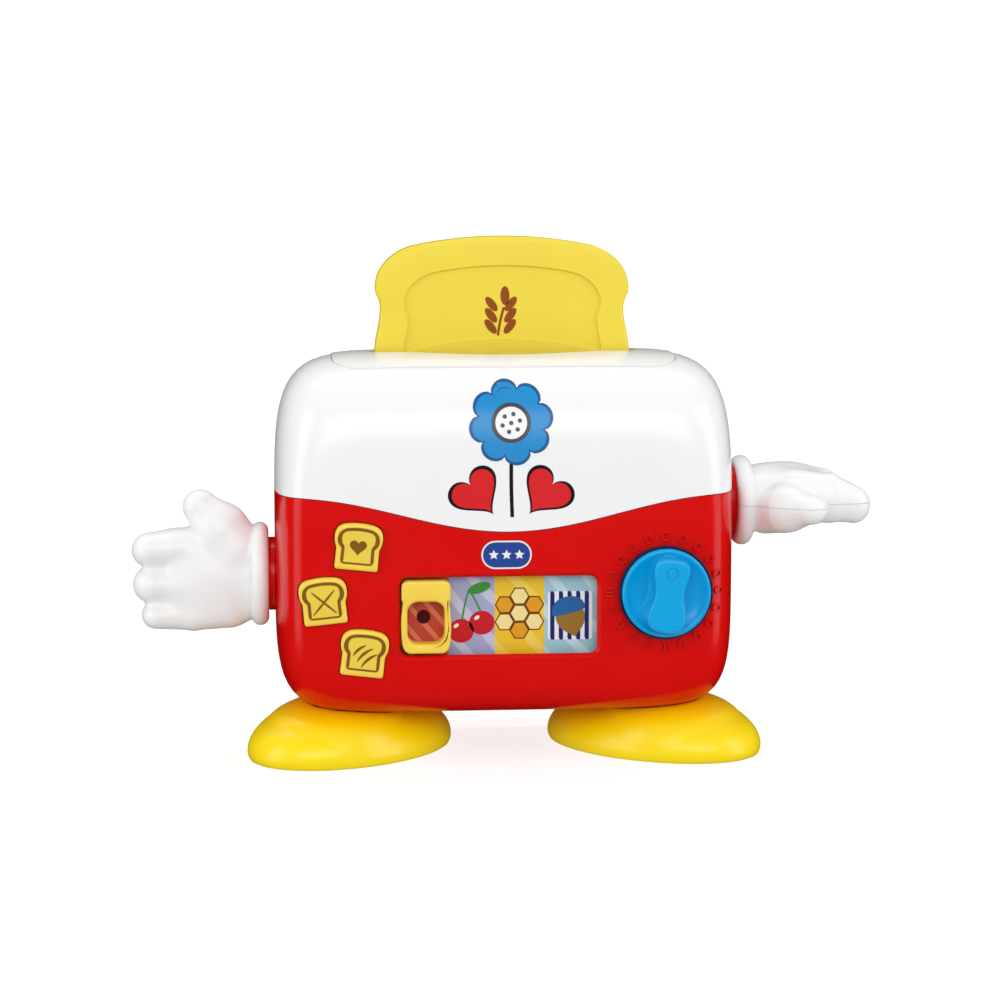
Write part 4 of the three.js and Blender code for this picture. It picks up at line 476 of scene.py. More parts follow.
def casing_form(inset, segments=192, rings=96):
    """The casing as a solid: a sphere is added and each point moved out to the swollen box."""
    form = fresh("uv_sphere", segments=segments, ring_count=rings)
    points = points_of(form)
    turn = np.arctan2(points[:, 1], points[:, 0])
    from_rim = np.abs(np.arcsin(np.clip(points[:, 2], -1, 1))) / (pi / 2)
    on_rim = from_rim < 0.5 / rings
    low, high = np.full(len(points), 0.9), np.full(len(points), 1.5)
    power = np.where(np.sin(turn) > 0, TOP_POWER, BOTTOM_POWER)
    for _ in range(40):
        reach = (low + high) / 2
        outside = np.abs(reach * np.cos(turn)) ** SIDE_POWER + np.abs(reach * np.sin(turn)) ** power > 1
        low, high = np.where(outside, low, reach), np.where(outside, reach, high)
    out = reach * (1 - from_rim ** 2.2)
    width, height, _ = half_sizes(inset)
    x = width * out * np.cos(turn)
    z = sizes().centre_height / MM + height * out * np.sin(turn)
    y = np.where(on_rim, 0, -np.sign(points[:, 2]) * depth_at(x, z, inset))
    put_points(form, np.stack([x, y, z], 1))
    return tidy(form)


def carve(piece, cutter, operation="DIFFERENCE"):
    """Cuts, joins or keeps what two forms share, and uses the second one up."""
    modified(piece, "BOOLEAN", object=cutter, operation=operation, solver="EXACT")
    bpy.data.objects.remove(cutter)
    return piece


def copy_of(piece, mirrored=False):
    copy = piece.copy()
    copy.data = piece.data.copy()
    bpy.context.scene.collection.objects.link(copy)
    if mirrored:
        copy.data.transform(Matrix.Scale(-1, 4, (1, 0, 0)))
        tidy(copy)
    return copy


def joined(*pieces):
    start()
    for piece in pieces:
        piece.select_set(True)
    bpy.context.view_layer.objects.active = pieces[0]
    bpy.ops.object.join()
    return pieces[0]


def settled(piece, name, finish, body, slot, replaces=(), smooth=40):
    """Names a piece, moves its mesh into the frame, and says what carries it, its finish and its nodes."""
    piece.data.transform(Matrix.Translation((0, MIDDLE_Y, 0)) @ Matrix.Scale(MM, 4))
    piece.name = piece.data.name = name
    select_only(piece)
    bpy.ops.object.shade_smooth_by_angle(angle=radians(smooth))
    piece.data.materials.clear()
    piece.data.materials.append(finish)
    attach(piece, body)
    if replaces:
        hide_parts(*replaces)
    return piece


# What counts as the outer skin: how near a point lies, in millimetres, and how squarely its face looks out.
NEAR_SKIN, SKIN_FACING = 0.12, 0.8


def polish(piece, inset=0.0):
    """Gives the faces on the casing's outer skin that skin's exact normals, so that highlights run true."""
    mesh = piece.data
    points = (points_of(piece) - (0, MIDDLE_Y, 0)) / MM
    x, y, z = points.T
    step = 0.01
    depth = half_sizes(inset)[2]
    slope = np.stack([
        (fullness(x + step, z, inset) - fullness(x - step, z, inset)) / (2 * step),
        FACE_POWER * np.sign(y) * np.abs(y / depth) ** (FACE_POWER - 1) / depth,
        (fullness(x, z + step, inset) - fullness(x, z - step, inset)) / (2 * step)], 1)
    size = np.linalg.norm(slope, axis=1)
    size[size == 0] = 1
    near = np.abs(fullness(x, z, inset) + np.abs(y / depth) ** FACE_POWER - 1) / size < NEAR_SKIN
    slope /= size[:, None]
    normals = np.zeros((len(mesh.loops), 3))
    for face in mesh.polygons:
        corners = list(face.vertices)
        if near[corners].all() and (slope[corners] @ np.array(face.normal)).min() > SKIN_FACING:
            normals[face.loop_start:face.loop_start + face.loop_total] = slope[corners]
    mesh.normals_split_custom_set(normals.tolist())


# Finishes


def wire(tree, node, sockets):
    """Feeds a node's sockets with values or with other nodes' outputs."""
    for key, value in sockets.items():
        if isinstance(value, bpy.types.NodeSocket):
            tree.links.new(value, node.inputs[key])
        else:
            node.inputs[key].default_value = value
    return node


def add(tree, kind, sockets, **settings):
    """Adds a node, sets it, and feeds its sockets."""
    node = tree.nodes.new("ShaderNode" + kind)
    for key, value in settings.items():
        setattr(node, key, value)
    return wire(tree, node, sockets)


def blend(tree, share, low, high):
    """A colour between two, by a node's output."""
    return add(tree, "Mix", {0: share, 6: low, 7: high}, data_type="RGBA").outputs[2]


def span(tree, value, low, high, first=0.0, last=1.0, **settings):
    """A node's output, spread from low..high to first..last."""
    return add(tree, "MapRange", {0: value, 1: low, 2: high, 3: first, 4: last}, **settings).outputs[0]


def blank(name):
    """A material with its principled shader and the object's own coordinates."""
    material = bpy.data.materials.new(name)
    material.use_nodes = True
    tree = material.node_tree
    return material, tree, tree.nodes["Principled BSDF"], add(tree, "TexCoord", {}).outputs["Object"]


def deeper(colour, share):
    return (*[c * share for c in colour[:3]], 1.0)


def moulded(name, colour, roughness, grain, relief, edge=0.35, depth_of_tone=0.93, soft=0.0,
            glint=0.5):
    """Injection-moulded plastic: grain and relief in millimetres, and the small radius its edges have."""
    material, tree, shader, place = blank(name)
    flow = add(tree, "TexNoise", {"Vector": place, "Scale": 1 / (35 * MM), "Detail": 2.0}).outputs[0]
    fine = add(tree, "TexNoise", {"Vector": place, "Scale": 1 / (grain * MM), "Detail": 3.0}).outputs[0]
    rim = add(tree, "Bevel", {"Radius": edge * MM}, samples=4).outputs[0]
    bump = add(tree, "Bump", {"Height": fine, "Normal": rim, "Strength": 1.0, "Distance": relief * MM})
    wire(tree, shader, {
        "Base Color": blend(tree, flow, deeper(colour, depth_of_tone), tuple(colour)),
        "Roughness": span(tree, flow, 0, 1, roughness * 0.85, roughness * 1.15), "Normal": bump.outputs[0],
        "IOR": 1.53, "Specular IOR Level": glint, "Subsurface Weight": soft, "Subsurface Scale": 2 * MM,
        "Subsurface Radius": (1, 1, 1)})
    return material


# Each plastic's colour, roughness, grain and relief in millimetres, and what else sets it apart.
PLASTICS = {
    # Deep red with a hard gloss and the faint ripple that a mould leaves.
    "polished_red_ABS": ("red", 0.22, 2.5, 0.002, {"glint": 0.3}),
    # A clean, slightly cool white that keeps a soft gloss.
    "polished_white_ABS": ("white", 0.2, 2.5, 0.002, {"depth_of_tone": 0.98}),
    # Blow-moulded: milky white, satin, with light bleeding through the fingers.
    "satin_white_PVC": ("white", 0.3, 1.5, 0.004, {"depth_of_tone": 0.97, "soft": 0.15}),
    # Waxy yellow that scatters light and shows a fine satin grain.
    "satin_yellow_polypropylene": ("toast", 0.38, 0.6, 0.004, {"soft": 0.1}),
    # Buttons and selector: warm yellow with a soft gloss.
    "yellow_ABS": ("control", 0.3, 0.8, 0.002, {"soft": 0.05}),
    # Bright blue, glossy on the rim and the grip.
    "blue_ABS": ("knob", 0.22, 1.5, 0.002, {}),
    # Eroded mould surface: a matt dark blue.
    "matt_navy_ABS": ("navy", 0.45, 0.3, 0.006, {}),
    # Glossy lemon yellow, with painted shade: deeper orange towards the top, where it lies under the casing.
    "glossy_shoe_yellow_ABS": ("shoe", 0.28, 2.0, 0.003, {}),
}


def plastic(name):
    """The plastic of that name, made when it is first asked for."""
    if name in bpy.data.materials:
        return bpy.data.materials[name]
    colour, roughness, grain, relief, more = PLASTICS[name]
    return moulded(name, getattr(colours(), colour), roughness, grain, relief, **more)


def shoe_abs():
    """The shoes' plastic, deeper in colour with height."""
    name = "glossy_shoe_yellow_ABS"
    if name in bpy.data.materials:
        return bpy.data.materials[name]
    material = plastic(name)
    tree = material.node_tree
    height = add(tree, "SeparateXYZ", {0: add(tree, "TexCoord", {}).outputs["Object"]}).outputs[2]
    # Painted shade: yellow goes to orange with height, towards the shade under the casing.
    share = span(tree, height, 10 * MM, 34 * MM, interpolation_type="SMOOTHSTEP")
    wire(tree, tree.nodes["Principled BSDF"],
         {"Base Color": blend(tree, share, tuple(colours().shoe), tuple(colours().shoe_deep))})
    return material


def ink(name, code, roughness=0.28):
    """Pad-printing ink: an even film with a slight unevenness where the pad pressed."""
    return moulded(name, linear(code), roughness, 0.5, 0.001, edge=0.05, depth_of_tone=0.9)


def metal(name, code, roughness, scratch):
    """Plain metal with fine marks; the marks' spacing is in millimetres."""
    material, tree, shader, place = blank(name)
    marks = add(tree, "TexNoise", {"Vector": place, "Scale": 1 / (scratch * MM), "Detail": 4.0}).outputs[0]
    bump = add(tree, "Bump", {"Height": marks, "Strength": 0.5, "Distance": 0.01 * MM})
    wire(tree, shader, {
        "Base Color": linear(code), "Metallic": 1.0, "Normal": bump.outputs[0],
        "Roughness": span(tree, marks, 0, 1, roughness * 0.6, roughness * 1.5)})
    return material


def circuit_board():
    # Solder mask over copper: green, with lighter tracks in a regular grid and a half gloss.
    material, tree, shader, place = blank("green_circuit_board")
    tracks = add(tree, "TexBrick", {
        "Vector": place, "Color1": linear("#1F5A2E"), "Color2": linear("#2C6A3A"),
        "Mortar": linear("#5FA86A"), "Scale": 1.0, "Mortar Size": 0.25 * MM, "Brick Width": 5 * MM,
        "Row Height": 2 * MM})
    wire(tree, shader, {"Base Color": tracks.outputs[0], "Roughness": 0.4})
    return material


def battery_wrap():
    # Printed shrink sleeve: green with a paler band round one end, glossy.
    material, tree, shader, place = blank("green_battery_sleeve")
    height = add(tree, "SeparateXYZ", {0: place}).outputs[2]
    tone = blend(tree, span(tree, height, 72 * MM, 72.5 * MM), linear("#2F7D4F"), linear("#C9A24A"))
    wire(tree, shader, {"Base Color": tone, "Roughness": 0.25})
    return material


def striped_card():
    # Offset print: brick red with pale diagonal stripes, under a thin gloss varnish.
    material, tree, shader, place = blank("striped_print")
    turned_place = add(tree, "Mapping", {"Vector": place, "Rotation": (0, radians(-50), 0)}).outputs[0]
    run = add(tree, "SeparateXYZ", {0: turned_place}).outputs[2]
    for operation in ("MODULO", "ADD", "MODULO"):
        run = add(tree, "Math", {0: run, 1: 6.5 * MM}, operation=operation).outputs[0]
    tone = blend(tree, span(tree, run, 4.3 * MM, 4.6 * MM), linear("#C4452E"), linear("#DE7A5C"))
    wire(tree, shader, {"Base Color": tone, "Roughness": 0.35})
    return material


def varnished_card(name, code, pale):
    """Offset print under varnish: an even ground with soft pale strokes across it."""
    material, tree, shader, place = blank(name)
    turned_place = add(tree, "Mapping", {"Vector": place, "Rotation": (0, radians(-48), 0)})
    wave = add(tree, "TexWave", {
        "Vector": turned_place.outputs[0], "Scale": 1 / (40 * MM), "Distortion": 2.0, "Detail": 1.0},
        bands_direction="Z")
    tone = blend(tree, span(tree, wave.outputs[1], 0.7, 0.8, 0, 0.6), linear(code), linear(pale))
    wire(tree, shader, {"Base Color": tone, "Roughness": 0.3})
    return material


# Builders of pieces


def beside_seam(above, facing):
    """What lies above or below the line where white meets red: wavy in front, straight behind."""
    reach = 140
    end = 250 if above else -50
    shift = GAP / 2 if above else -GAP / 2
    xs = [SEAM_HALF_SPAN * (2 * i / 96 - 1) for i in range(97)]
    line = [(-reach, SEAM_SIDE_Z), *[(x, seam_height(x) if facing == FRONT else SEAM_SIDE_Z) for x in xs],
            (reach, SEAM_SIDE_Z)]
    outline = [(-reach, end), *[(x, z + shift) for x, z in line], (reach, end)]
    near, far = sorted((facing * GAP / 2, facing * 90))
    return prism(outline, near, far)


def button_outline(place, grow=0.0):
    _, x, z, tilt = place
    outline = evenly(placed(placed(slice_badge(10.5, 20.6, 0.9), 0, -10.3), x, z, tilt), 120)
    return grown(outline, grow) if grow else outline


def slot_forms():
    """Cutters for the toast slot and for the finger dip in its front edge."""
    half_width, half_depth, dip = 59.2, 8.2, 46
    slot = rounded(-half_width, half_width, -half_depth, half_depth, 4)
    lens = drawn((-dip, -half_depth + 1), ((0, -half_depth - 15), (dip, -half_depth + 1)), steps=32)
    return [upright_prism(slot, *CUT_TOP), upright_prism(lens, *CUT_TOP)]


def rod(radius, front, back, x, z, sides=32):
    return turned([(radius, front), (radius, back)], x, z, sides)


def screw_tube(x, z, front, back):
    """A plain tube inside the back that a casing screw goes down."""
    return wrapped([[(x + px, y, z + pz) for px, pz in oval(r, r, 32)] for r, y in (
        (SCREW_TUBE, front), (SCREW_TUBE, back), (SCREW_WELL, back), (SCREW_WELL, front))], loop=True)


def build_casing():
    hollow = carve(casing_form(0.0), casing_form(WALL, *COARSE))
    panel_hole = upright_prism(widened(PANEL, PANEL_CORNER, GAP), *CUT_TOP)
    red, white = plastic("polished_red_ABS"), plastic("polished_white_ABS")
    window = rounded(*WINDOW, WINDOW_CORNER)
    slope = [[(x, y, z) for x, z in grown(evenly(window, 160), amount)]
             for y, amount in ((-52, 7.2), (-44.4, 0.0))]
    for above, facing in ((True, FRONT), (True, BACK), (False, FRONT), (False, BACK)):
        shell = carve(copy_of(hollow), beside_seam(above, facing), "INTERSECT")
        if above:
            carve(shell, copy_of(panel_hole))
        elif facing == FRONT:
            carve(shell, wrapped(slope))
            carve(shell, prism(window, *CUT_WINDOW))
            for place in BUTTONS:
                carve(shell, prism(button_outline(place, BUTTON_ROOM), *CUT_FRONT))
        else:
            carve(shell, prism(widened(DOOR, DOOR_CORNER, GAP), *CUT_DOOR))
            slots = [rounded(*SWITCH_SLOT, 0.4)]
            for row in range(-3, 4):
                half = sqrt(GRILLE_RADIUS ** 2 - (row * GRILLE_PITCH) ** 2)
                z = GRILLE_Z + row * GRILLE_PITCH
                slots.append(rounded(GRILLE_X - half, GRILLE_X + half, z - 1, z + 1, 0.95))
            for slot in slots:
                carve(shell, prism(slot, *CUT_BACK))
        if facing == BACK:
            for x, z in SCREW_PLACES[:2] if above else SCREW_PLACES[2:]:
                carve(shell, rod(SCREW_WELL, *CUT_BACK, x, z))
                rim = float(depth_at(abs(x) + SCREW_TUBE, z)) - 0.4
                joined(shell, screw_tube(x, z, 0.2, rim))
        name = ("front" if facing == FRONT else "rear") + ("_upper" if above else "_lower")
        finish, slot = (white, "white_casing") if above else (red, "red_casing")
        settled(shell, name + "_cover", finish, "casing", slot, (name + "_shell",))
        polish(shell)
    bpy.data.objects.remove(panel_hole)
    door = carve(hollow, prism(widened(DOOR, DOOR_CORNER), *CUT_DOOR), "INTERSECT")
    carve(door, rod(3.3, 43.6, 60, 0, DOOR_SCREW_Z))
    carve(door, rod(1.7, *CUT_BACK, 0, DOOR_SCREW_Z))
    settled(door, "battery_cover", red, "battery_cover", "red_casing", ("battery_door",))
    polish(door)


def build_top_panel():
    rise = sizes().panel_rise / MM
    panel = carve(casing_form(-rise), casing_form(WALL, *COARSE))
    carve(panel, upright_prism(widened(PANEL, PANEL_CORNER), *CUT_TOP), "INTERSECT")
    for form in slot_forms():
        carve(panel, form)
    settled(panel, "slot_panel", plastic("polished_white_ABS"), "casing", "white_casing",
            ("top_slot_panel",))
    polish(panel, -rise)


def build_toast():
    finish = plastic("satin_yellow_polypropylene")
    outline = evenly(placed(bread(TOAST_HALF_WIDTH, TOAST_HEIGHT, 12), 0, TOAST_FOOT_Z), 240)
    front = pillow(outline, -GAP / 2, flat(TOAST_FACE), 2.2, 6)
    inner = bread(TOAST_HALF_WIDTH - TOAST_RIM, TOAST_HEIGHT - TOAST_RIM * 2, 12)
    inner = evenly(placed(inner, 0, TOAST_FOOT_Z + TOAST_RIM), 160)
    # The recess ends below in a wide arc.
    arc = rod(RECESS_RADIUS, -12, 12, 0, RECESS_END_Z - RECESS_RADIUS, 256)
    carve(front, carve(prism(inner, -9, TOAST_RECESS), arc))
    settled(front, "toast_front_half", finish, "toast", "toast_yellow", ("toast_front",))
    back = pillow([(-x, z) for x, z in outline][::-1], -GAP / 2, flat(TOAST_FACE), 2.2, 6)
    back.data.transform(Matrix.Rotation(pi, 4, "Z"))
    settled(back, "toast_back_half", finish, "toast", "toast_yellow", ("toast_back",))


def build_toast_print():
    """An ear of wheat."""
    face = flat(TOAST_RECESS)
    forms = [ribbon(drawn((-2, 186.5), ((-1.5, 192), (0.6, 199)), steps=16), [0.55] * 17, face)]
    for row in range(3):
        for side in (-1, 1):
            x, z = 0.2 * row - 1 + side * 4.3, 190.5 + 5 * row
            forms.append(stamp(oval(1.75, 3.9), x, z, face, 1, -38 * side))
    forms.append(stamp(oval(2.0, 4.2), 1.1, 204.2, face))
    settled(joined(*forms), "toast_print", ink("brown_print_on_toast", "#9A4A00"), "toast", "toast_yellow")


def build_buttons():
    """Three slices of bread: a heart, a cross and three strokes are printed on them."""
    yellow, field = plastic("yellow_ABS"), ink("olive_yellow_print", "#F2D446")
    brown = ink("brown_print_on_buttons", "#8A5A10")
    badge = evenly(placed(slice_badge(8.2, 15.0, 0.8), 0, -7.2), 120)
    # The line is thin along the foot and thickest round the two lobes.
    halves = [0.42 + 0.26 * min(max(z + 7, 0), 1) + 0.32 * max(0.0, 1 - abs(z - 2.8) / 4) for _, z in badge]
    strokes = {"upper": [], "middle": [], "lower": []}
    for step in range(3):
        for side in (-1, 1):
            x, z = side * 1.61 * (step - 1), 1.61 * (step - 1) - 0.4
            line = [(x - 3.4, z - side * 3.4), (x, z), (x + 3.4, z + side * 3.4)]
            strokes["middle"].append((line, [0.25, 0.5, 0.25]))
        x, z, size = -4.6 + 2.0 * step, -1.2 - 2.4 * step, 1 + 0.25 * min(step, 1)
        line = drawn((x, z), ((x + 1.6 * size, z + 3.4 * size), (x + 5 * size, z + 5 * size)), steps=12)
        strokes["lower"].append((line, [0.2 + 0.42 * sin(pi * i / 12) for i in range(13)]))

    def face(x, z):
        return front_face(x, z, sizes().button_rise / MM)

    for place in BUTTONS:
        name, *spot = place
        cap = pillow(button_outline(place), -40, face, 1.3, 5)
        forms = [ribbon(placed(badge, *spot), halves, face, 2, loop=True)]
        forms += [ribbon(placed(line, *spot), widths, face, 2) for line, widths in strokes[name]]
        if name == "upper":
            forms.append(printed(placed(placed(heart(7.4), 0, -0.3), *spot), face, 2))
        for kind, form, finish, nodes in (("cap", cap, yellow, (f"bread_button_{name}",)),
                                          ("field", printed(placed(badge, *spot), face), field, ()),
                                          ("print", joined(*forms), brown, ())):
            settled(form, f"bread_button_{name}_{kind}", finish, f"button_{name}", "control_yellow", nodes)
    # A fine bead stands on the casing round the upper button, a little low on it.
    bead = evenly(placed(button_outline(BUTTONS[0], 2.1), 0, -0.9), 120)
    settled(ribbon(bead, [0.3] * len(bead), front_face, 4, loop=True), "upper_button_bead",
            plastic("polished_red_ABS"), "casing", "red_casing")


def build_selector():
    middle, top, back, edge = -36.75, -47.9, -39.4, 1.1
    outer = evenly(placed(jar(21.8, 32), middle, 51), 160)
    inner = evenly(rounded(middle - 8.1, middle + 8.1, 55.2, 73.7, 4.6), 160)
    # Both outlines start at the same corner, so that the frame's walls don't twist.
    inner = inner[-20:] + inner[:-20]
    rings = [[(x, top + edge * below, z) for x, z in grown(outer, -edge * inwards)]
             for below, inwards in roll(5)]
    rings += [[(x, top + 2 * edge * inwards, z) for x, z in grown(inner, 1.4 * below)]
              for below, inwards in roll(5)]
    rings += [[(x, back, z) for x, z in outline] for outline in (inner, outer)]
    settled(wrapped(rings, loop=True), "selector_frame", plastic("yellow_ABS"), "selector", "control_yellow",
            ("selector_slider",))


def print_all(prefix, slot, prints):
    """Settles one piece for each ink: the ink's name, its colour and its forms."""
    for name, (code, forms) in prints.items():
        settled(joined(*forms), prefix + name, ink(name, code), "casing", slot)


def build_card():
    """Four pictures side by side: stripes with a dot, cherries, a honeycomb and an acorn."""
    face = flat(CARD_Y)
    grounds = (striped_card(), varnished_card("lavender_print", "#A9A9D0", "#D6D6EA"),
               varnished_card("yellow_print", "#F0C425", "#F7DC6A"),
               varnished_card("light_blue_print", "#A0C8D8", "#D2E6EC"))
    for index, finish in enumerate(grounds):
        tile = rounded(*TILE_EDGES[index:index + 2], 48.6, 85.4, 0.05, 1)
        settled(printed(evenly(tile, 64), face), f"picture_ground_{index + 1}", finish, "casing",
                "picture_card")
    comb = [(4.65 + x, 67 + z) for x, z in [(0, 0), *regular(7.6, 6, 30)]]
    board = evenly(rounded(17.2, 36.8, 55, 76.5, 0.8), 64)
    stripes = [evenly(rounded(x, x + 1.9, 55, 76.5, 0.05, 1), 32) for x in (18.2, 22.0, 25.8, 29.6, 33.4)]
    nut = both_sides(drawn((0, -9.4), ((1.2, -8.4), (2.2, -7.4)), ((7.4, -4), (6.2, 2.4)), ((0, 3.4),)))
    cup = both_sides(drawn((0, 1.2), ((5, 1.0), (7.6, 2.0)), ((7.6, 8.4), (0, 8.8))))
    stalks = (((-20.6, 64), (-19.5, 72)), ((-12.2, 67.5), (-14.5, 73)))
    print_all("picture_", "picture_card", {
        "dark_red_print": ("#4A0008", [stamp(oval(3.05, 3.05), -37.5, 66, face, 2)]),
        "red_print": ("#D3121E", [stamp(oval(5.6, 5.3), x, z, face, 3)
                                  for x, z in ((-21, 59.5), (-11.9, 63))]),
        "green_print": ("#3E9A3C", [
            stamp(oval(5.2, 2.3), -13.0, 78.4, face, 3, 18),
            *(ribbon(drawn(foot, (bend, (-17.6, 77.6)), steps=12), [0.4] * 13, face, 2)
              for foot, bend in stalks)]),
        "pale_print": ("#FFF6E0", [stamp(oval(1.3, 0.8), x, z, face, 4, 35)
                                   for x, z in ((-23.2, 61.8), (-14.1, 65.3))]),
        "brown_print": ("#7A2A10", [stamp(regular(4.35, 6), x, z, face, 2) for x, z in comb]),
        "honey_print": ("#E9A414", [stamp(regular(3.75, 6), x, z, face, 3) for x, z in comb[1::2]]),
        "honey_pale_print": ("#FBE79A", [stamp(regular(3.75, 6), x, z, face, 3) for x, z in comb[::2]]),
        "navy_print": ("#202878", [printed(stripe, face, 3) for stripe in stripes]),
        "white_print": ("#F2F4F4", [printed(board, face, 2)]),
        "nut_print": ("#A0742A", [stamp(evenly(nut, 64), 27, 65.5, face, 4, 14)]),
        "blue_print": ("#2466A8", [stamp(evenly(cup, 64), 27, 65.5, face, 5, 14)]),
    })


def build_dial():
    x, z = KNOB_PLACE
    radius = sizes().knob_radius / MM
    back, rim = -47.7, -51.7
    profile = [(0, back), (radius, back), (radius - 0.1, rim + 1.3)]
    profile += [(radius - 1.2 + 1.1 * cos(t), rim + 1.2 - 1.2 * sin(t))
                for t in np.linspace(0.2, pi / 2, 6)]
    # The dish falls away behind the rim.
    profile += [(radius - inwards, rim + fall) for inwards, fall in (
        (1.8, 0.1), (2.5, 0.55), (4, 1.35), (7, 2.1), (11, 2.5), (15, 2.6), (radius, 2.6))]
    cap = turned(profile, x, z, 96)
    half, top_end, waist, low_end = 16.2, 7.9, 6.4, 8.4
    right = drawn(
        (0, -half), ((5.4, -half), (low_end, -half + 1.6), (low_end, -half + 6.0)),
        ((low_end, -half + 10), (waist + 0.2, -4), (waist, 0.5)),
        ((waist, 5), (top_end, half - 9), (top_end, half - 4.6)),
        ((top_end, half - 1.0), (5.2, half), (0, half)), steps=12)
    outline = evenly(both_sides(right), 128)
    rings = [[(px, rim + below, pz) for px, pz in grown(outline, amount)] for amount, below in (
        (1.8, 3.4), (1.8, 2.7), (0.9, 2.0), (0.35, 0.8), (0.15, -0.6))]
    face = rim - 9
    rings += [[(px, face + 1.1 * below, pz) for px, pz in grown(outline, -0.15 - 1.1 * inwards)]
              for below, inwards in roll(6)]
    rings += [[(px * share, face, pz * share) for px, pz in grown(outline, -1.25)]
              for share in (0.8, 0.5, 0.2)]
    groove = fresh("torus", major_radius=2.4, minor_radius=0.42, major_segments=48, minor_segments=12,
                   location=(0, face, half - 6.3), rotation=(pi / 2, 0, 0))
    bpy.ops.object.transform_apply(location=True, rotation=True, scale=True)
    grip = carve(wrapped(rings), groove)
    nub = pillow(placed(oval(4.4, 2.3, 48), 0, 17.3), rim + 2.4, flat(rim + 0.5), 1.2, 4)
    tilt = Matrix.Rotation(radians(-KNOB_TILT), 4, "Y")
    for form in (grip, nub):
        form.data.transform(Matrix.Translation((x, 0, z)) @ tilt)
    settled(joined(cap, grip, nub), "dial_cap", plastic("blue_ABS"), "knob", "knob_blue", ("knob_cap",),
            smooth=50)
    profile = [(0, -47.6), (19.8, -47.6), (19.8, -49.2), (20.4, -49.4), (20.6, -49.2), (20.6, -46.8),
               (20.4, -46.6), (3.6, -46.6), (3.6, -40.9), (0, -40.9)]
    settled(turned(profile, x, z, 96), "dial_ring", plastic("matt_navy_ABS"), "knob", "navy",
            ("dial_base",))
    build_dial_marks(x, z)


def build_dial_marks(x, z):
    """The seat round the dial, with twenty raised marks: rings, and three bars below and at the left."""
    profile = [(0, -46.35), (19.4, -46.35), (20.6, -45.4), (21.6, -43.6), (22.6, -40.5), (0, -40.5)]
    forms = [turned(profile, x, z, 96)]
    lift = sizes().mark_rise / MM
    layers = lift / (sizes().print_rise / MM)

    def raised(px, pz):
        return front_face(px, pz) - lift

    for turn in range(0, 360, 18):
        if turn in (180, 270):
            middle = radians(turn)
            base = front_face(x + MARK_CIRCLE * sin(middle), z + MARK_CIRCLE * cos(middle)) + 1.5
            for shift in (-1.7, 0, 1.7):
                bar = placed(rounded(-0.45, 0.45, -1.75, 1.75, 0.44), shift, MARK_CIRCLE)
                forms.append(pillow(placed(bar, x, z, -turn), base, raised, 0.3, 2, ()))
        else:
            half = 1.5 if turn == 0 else 1.3
            loop = placed(rounded(-half, half, -1.8, 1.8, half * 0.95), 0, MARK_CIRCLE)
            loop = evenly(placed(loop, x, z, -turn), 40)
            forms.append(ribbon(loop, [0.42] * 40, front_face, layers, loop=True))
    settled(joined(*forms), "dial_marks", plastic("polished_red_ABS"), "casing", "red_casing")


# Limbs of the glove in its own frame: u leads out from the wrist, v towards the thumb and w to its back.
# Each is a chain of balls (u, v, w, radius, fullness), where fullness draws a ball out across the palm.
PALM = ((9, -0.2, 0.8, 20.2, 0.69), (17, -0.9, 1.7, 21.4, 0.69), (24, -1.5, 2.0, 21.0, 0.69))
FINGERS = (
    ((26, 13.2, 3.2, 8.9, 1.3), (42, 12.3, 1.9, 8.1, 1.36), (53.4, 11.5, -1.2, 7.6, 1.12)),
    ((26, -4.2, 3.2, 8.4, 1.3), (42, -4.1, 1.9, 8.3, 1.34), (52.3, -4.1, -1.2, 8.3, 1.04)),
    ((18, -16.4, 1.4, 7.1, 1.4), (34, -18.8, 1.4, 6.6, 1.45), (50.6, -17.9, -1.2, 6.3, 1.3)),
)
THUMB = ((14, 11.2, -2.4, 12.6, 0.92), (21.4, 20.6, -1.2, 12.2, 0.9), (30.2, 30.5, -0.8, 7.9, 0.86))


GLOVE_FLOOR = 3
VOXEL, QUICK_VOXEL = 0.75, 1.1


def soft_least(first, second, reach):
    """The smaller of two distances, rounded over where they are within reach of each other."""
    share = np.clip(0.5 + 0.5 * (second - first) / reach, 0, 1)
    return second + (first - second) * share - reach * share * (1 - share)


def limb_distance(points, limb):
    """How far points lie outside a chain of balls joined by cones."""
    least = None
    for near, far in zip(limb, limb[1:]):
        near, far = np.array(near, float), np.array(far, float)
        line = far[:3] - near[:3]
        along = np.clip((points - near[:3]) @ line / (line @ line), 0, 1)[:, None]
        ball_here = near + along * (far - near)
        away = points - ball_here[:, :3]
        away[:, 2] /= ball_here[:, 4]
        gap = np.linalg.norm(away, axis=1) - ball_here[:, 3]
        least = gap if least is None else soft_least(least, gap, 1.5)
    return least


def glove_distance(points):
    """How far points lie outside the whole glove, with soft creases where its limbs meet."""
    tube, cuff_v = sizes().cuff_tube / MM, sizes().cuff_half_width / MM
    hand = np.maximum(limb_distance(points, PALM), GLOVE_FLOOR - points[:, 0])
    # The webs between the fingers are full at the palm and thin out towards the tips.
    web = 2.6 + 5.4 * np.clip((57 - points[:, 0]) / 16, 0, 1)
    fingers = limb_distance(points, FINGERS[0])
    for finger in FINGERS[1:]:
        fingers = soft_least(fingers, limb_distance(points, finger), web)
    hand = soft_least(hand, fingers, 6)
    hand = soft_least(hand, limb_distance(points, THUMB), 2.2)
    round_cuff = np.hypot(points[:, 1], points[:, 2] * cuff_v / (cuff_v - 3))
    out = np.maximum(np.stack((np.abs(points[:, 0] - tube), round_cuff - cuff_v + tube)), 0)
    return soft_least(hand, np.hypot(*out) - tube, 0.7)


